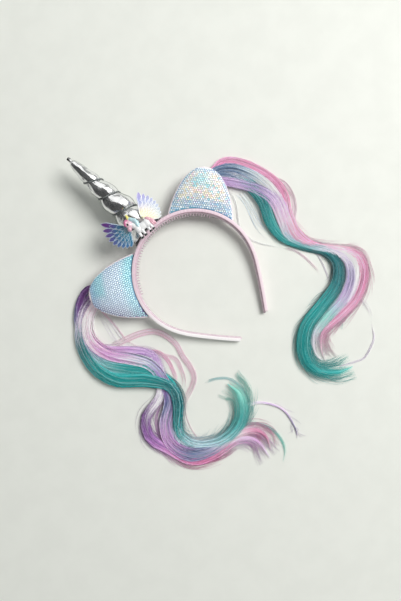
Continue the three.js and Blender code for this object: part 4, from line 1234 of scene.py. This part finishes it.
def lock_line(lock, root, steps):
    """A lock's centreline, breadth, thickness and tone from the root to its end."""
    rows = [[root[0] + a * FALL_DROP, root[1] + b * FALL_DROP, c * LOCK_BREADTH,
             *colour(HAIR_TONES[tone])[:3]] for a, b, c, tone in lock["rows"]]
    if lock["rooted"]:
        rows.insert(0, [root[0], root[1], *rows[0][2:]])
    line, run = smooth_line(rows, steps)
    thick = np.clip(line[:, 2] * 0.5, 2.2, 6.5)
    lifts = lock["lift"]
    lift = np.interp(np.linspace(0, len(lifts) - 1, steps), np.arange(len(lifts)), lifts)
    lying = thick * 0.433 + lift
    hang = np.clip(1 - run / ROOT_RUN, 0, 1) ** 2 if lock["rooted"] else 0
    high = lying + (root[2] - lying) * hang
    centre = np.column_stack([line[:, :2], high])
    ahead = np.gradient(centre[:, :2], axis=0)
    ahead /= np.linalg.norm(ahead, axis=1, keepdims=True)
    across = np.column_stack([-ahead[:, 1], ahead[:, 0], np.zeros(steps)])
    return centre, across, line[:, 2], thick, line[:, 3:]


def along_lock(t, line):
    """Places, sideways directions, half breadth, half thickness and tone at shares t of a lock."""
    grid = np.linspace(0, 1, len(line[0]))
    at, side, tone = (np.stack([np.interp(t, grid, line[i][:, k]) for k in range(3)], axis=-1)
                      for i in (0, 1, 4))
    return at, side, np.interp(t, grid, line[2]) / 2, np.interp(t, grid, line[3]) / 2, tone


def silky(tone, off, t, up, rng):
    """Painted light and shade: strands beside each other share bands of painted shade and painted
    highlight, strands lying higher are lighter, a few are deeper at random and a few paler as painted
    highlights.
    """
    start = rng.uniform(0, 6.28, 4)
    place = off[:, :1] + rng.normal(0, 0.06, (len(off), 1))
    # Painted shade: bands across and along the lock, and strands lying higher painted lighter.
    shade = (0.22 * np.sin(7 * place + 5 * t + start[0]) + 0.18 * np.sin(19 * place - 7 * t + start[1])
             + rng.normal(0, 0.1, (len(off), 1)) + 0.14 * up)
    deep = tone ** 1.7 * (rng.random((len(off), 1)) < 0.25)[..., None]
    tone = np.where(deep > 0, deep, tone) * np.clip(1 + shade, 0.45, 1.5)[..., None]
    # Painted highlights: paler runs along the strands, and a few strands paler all along.
    painted_gleam = 0.2 + 0.8 * np.sin(8 * t + 3 * place + start[3]) ** 2
    pale = np.clip(np.sin(13 * place + 4 * t + start[2]) - 0.4, 0, 1) * painted_gleam
    pale = pale + (rng.random((len(off), 1)) < 0.1) * 0.7 * painted_gleam
    bright = 0.35 + 0.65 * np.clip(tone, 0, 1) ** 0.45
    return np.clip(tone + (bright - tone) * np.clip(pale, 0, 0.9)[..., None], 0, 1)


def thinning(u):
    """How a strand thins to its end."""
    return 0.25 + 0.75 * eased((1 - u) * 5)


def hairs(paths, size, tone):
    """Three-sided hairs along paths."""
    return (*tubes(paths, size, size, 3), np.repeat(tone.reshape(-1, 3), 3, axis=0))


def lock_strands(lock, root, seed):
    """Strands of a lock, gathered in clumps that wander a little inside it."""
    rng = np.random.default_rng(seed)
    count = lock["strands"]
    start = rng.uniform(0, 0.04, count)[:, None]
    end = (1 - rng.random(count) * lock["fray"])[:, None]
    u = np.linspace(0, 1, STRAND_STEPS)[None]
    t = start + (end - start) * u
    line = lock_line(lock, root, LINE_STEPS)
    at, side, wide, deep, _ = along_lock(t, line)
    clumps = 9
    member = rng.integers(0, clumps, count)
    wave = rng.uniform(0, 6.28, (clumps, 2))[member]
    off = (np.linspace(-0.85, 0.85, clumps)[member][:, None] + rng.normal(0, 0.15, (count, 1))
           + 0.28 * np.sin(6 * t + wave[:, :1]) + 0.1 * np.sin(14 * t + wave[:, 1:])
           + rng.normal(0, 0.2, (count, 1)) * eased((u - 0.7) / 0.3) * lock["rooted"])
    loose = 1 + 0.3 * eased((u - 0.8) / 0.2)
    off = np.clip(off, -loose, loose)
    blend = np.clip(t + rng.normal(0, 0.03, (count, 1)), 0, 1)
    tone = along_lock(blend, line)[4]
    top = np.sqrt(np.clip(1 - (off / 1.45) ** 2, 0, 1))
    up = np.clip(rng.uniform(-0.8, 1, (count, 1)), -0.8, 1) * top
    paths = at + side * (off * wide)[..., None]
    paths[..., 2] = np.maximum(at[..., 2] + up * deep, 0.3)
    size = 0.17 * rng.uniform(0.75, 1.25, (count, 1)) * thinning(u)
    return hairs(paths, size, silky(tone, off, t, up, rng))


def flyaways(lock, root, seed, count):
    """Fine single hairs that leave a lock and curl away over the table."""
    rng = np.random.default_rng(seed)
    start = (rng.random(count) ** 0.5 * 0.88 + 0.03)[:, None]
    reach = np.minimum(rng.uniform(0.08, 0.26, (count, 1)), 1 - start)
    u = np.linspace(0, 1, 16)[None]
    at, side, wide, _, tone = along_lock(start + reach * u, lock_line(lock, root, LINE_STEPS))
    way = rng.choice([-1, 1], (count, 1))
    drift = rng.uniform(0.5, 5, (count, 1)) + 14 * start ** 2 * rng.random((count, 1))
    pace = rng.uniform(3, 9, (count, 1))
    curl = (0.6 + 1.2 * start) * np.sin(pace * u + rng.uniform(0, 6.28, (count, 1)))
    out = way * (0.7 * wide + drift * u ** 1.4) + curl
    paths = at + side * out[..., None]
    paths[..., 2] = at[..., 2] * (1 - u) + 0.25 + 0.5 * u
    return hairs(paths, np.broadcast_to(0.13 * thinning(u), out.shape), tone * 0.65)


def wisp(entry, root, seed):
    """A few strands that run beside the locks on a way of their own."""
    shade, count, breadth, rows = entry
    lock = {"rooted": False, "lift": (0.2, 0.2), "strands": count,
            "rows": [(a, b, breadth / LOCK_BREADTH, shade) for a, b in rows]}
    rng = np.random.default_rng(seed)
    start, end = rng.uniform(0, 0.12, (count, 1)), 1 - rng.uniform(0, 0.3, (count, 1))
    u = np.linspace(0, 1, STRAND_STEPS)[None]
    t = start + (end - start) * u
    at, side, wide, _, tone = along_lock(t, lock_line(lock, root, LINE_STEPS))
    off = rng.uniform(-1, 1, (count, 1)) + 0.2 * np.sin(4 * t + rng.uniform(0, 6.28, (count, 1)))
    paths = at + side * (off * wide)[..., None]
    paths[..., 2] = rng.uniform(0.2, 0.9, (count, 1))
    size = 0.1 * rng.uniform(0.7, 1.3, (count, 1)) * thinning(u)
    return hairs(paths, size, silky(tone * 0.95, off, t, 0, rng))


def lock_body(lock, root):
    """The mass of a lock below its outer strands, a little darker than they are as painted shade."""
    steps, sides = 110, 14
    centre, across, breadth, thick, tone = lock_line(lock, root, steps)
    centre[:, 2] -= 0.1
    end = np.sqrt(np.clip((1 - np.linspace(0, 1, steps)) * 8, 0.02, 1))
    points, faces = tubes(centre[None], (breadth * 0.34 * end)[None],
                          (thick * 0.33 * end)[None], sides, across[None])
    points[:, 2] = np.maximum(points[:, 2], 0.05)
    return points, faces, np.repeat(tone * 0.95, sides, axis=0)


def felt_patch(turn, tall):
    """Felt on the back of an ear that holds the roots."""
    rows, columns = 9, 9
    across = np.linspace(-1, 1, columns)[None] * 0.42
    rise = np.linspace(*PATCH_ENDS, rows)[:, None] / tall
    x, y, thick = ear_form(across, rise, tall)
    over = np.stack([x, y, -(GAP / 2 + thick + GAP)], axis=-1)
    under = over - [0, 0, PATCH_THICK]
    points = np.concatenate([over.reshape(-1, 3), under.reshape(-1, 3)])
    return laid(spun(points, turn, 2)), walled(rows, columns), colour("d9c3dc")


def hair():
    """Two falls, each a mass of locks under its strands, with wisps and fine flyaway hairs."""
    body_look = finish("hair mass", painted(260, 0.4, 0.5, 0.3), Sheen_Weight=0.1)
    # The strands glow faintly in their own colour: painted light.
    strand_look = finish("hair strands", glowing(900, 0.02, 0.3, 0.1), Specular_IOR_Level=0.6,
                         Sheen_Weight=0.2, Emission_Strength=0.1)
    for side, locks, wisps, seed in (("left", LEFT_LOCKS, LEFT_WISPS, 10),
                                     ("right", RIGHT_LOCKS, RIGHT_WISPS, 50)):
        turn, tall = EAR_TURNS[side], EAR_HEIGHTS[side]
        root = ear_root(turn, tall)
        parts = [felt_patch(turn, tall)] + [lock_body(lock, root) for lock in locks.values()]
        points, faces, tint = gathered(parts)
        mass = piece(f"hair_{side}_mass", points, faces, body_look, tint)
        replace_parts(mass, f"hair_{side}")
        for i, (name, lock) in enumerate(locks.items()):
            points, faces, tint = lock_strands(lock, root, seed + i)
            piece(f"hair_{side}_{name}_strands", points, faces, strand_look, tint)
        parts = [wisp(entry, root, seed + 30 + i) for i, entry in enumerate(wisps)]
        for i, lock in enumerate(locks.values()):
            count = FLYAWAYS_ROOTED if lock["rooted"] else FLYAWAYS_STRAY
            parts.append(flyaways(lock, root, seed + 20 + i, count))
        points, faces, tint = gathered(parts)
        piece(f"hair_{side}_wisps", points, faces, strand_look, tint)


# Stage

def sheet(name, look, corners):
    mesh = bpy.data.meshes.new(name)
    mesh.from_pydata(corners, [], [(0, 1, 2, 3)])
    mesh.materials.append(look)
    return put(name, mesh)


def floor():
    look = finish("pale paper ground", grained("e9ebe5", "e6e8e2", 40, 0.02, (0.6, 0.7)))
    ways = ((-1, -1), (1, -1), (1, 1), (-1, 1))
    corners = [(x * FLOOR_REACH, y * FLOOR_REACH, FLOOR_LEVEL) for x, y in ways]
    plane = sheet("floor", look, corners)


def card(name, look, corners):
    """A card over the table that is seen only as a reflection."""
    made = sheet(name, look, corners)
    made.visible_camera = False
    made.visible_diffuse = False
    made.visible_shadow = False


def cards():
    """A dark wall on one side of the foil and two bright ones on the other."""
    dark = finish("dark card", grained("101013", "77777c", 3, 0.01))
    card("dark_card", dark, [(0.3, -2.2, 1), (0.02, 1.5, 1), (-1.4, 2.6, 0.2), (-1.7, -2.2, 0.2)])
    bright = finish("bright card", grained("ffffff", "f4f4f4", 20, 0.01),
                    Emission_Color=(1, 1, 1, 1), Emission_Strength=0.75)
    card("bright_card", bright, [(0.12, -1.2, 3), (0.12, 3.5, 2.4), (3.2, 3.5, 1.1), (3.2, -1.2, 1.1)])
    card("far_card", bright, [(-2.5, 4, 2.2), (0.12, 3, 3), (0.12, 6, 1.5), (-2.5, 6, 1.2)])


def daylight():
    world = bpy.data.worlds.new("soft room")
    world.use_nodes = True
    sky = world.node_tree.nodes["Background"]
    sky.inputs["Color"].default_value = (0.93, 0.96, 0.94, 1)
    sky.inputs["Strength"].default_value = SKY_STRENGTH
    bpy.context.scene.world = world
    window_light()
    bpy.context.scene.view_settings.view_transform = "Standard"
    bpy.context.scene.view_settings.look = "None"


look_down()
daylight()
floor()
cards()
toothed_core()
satin_ribbon()
felt_pad()
foil_horn()
twisted_cord()
ears()
cast_wings()
cast_unicorn()
hair()
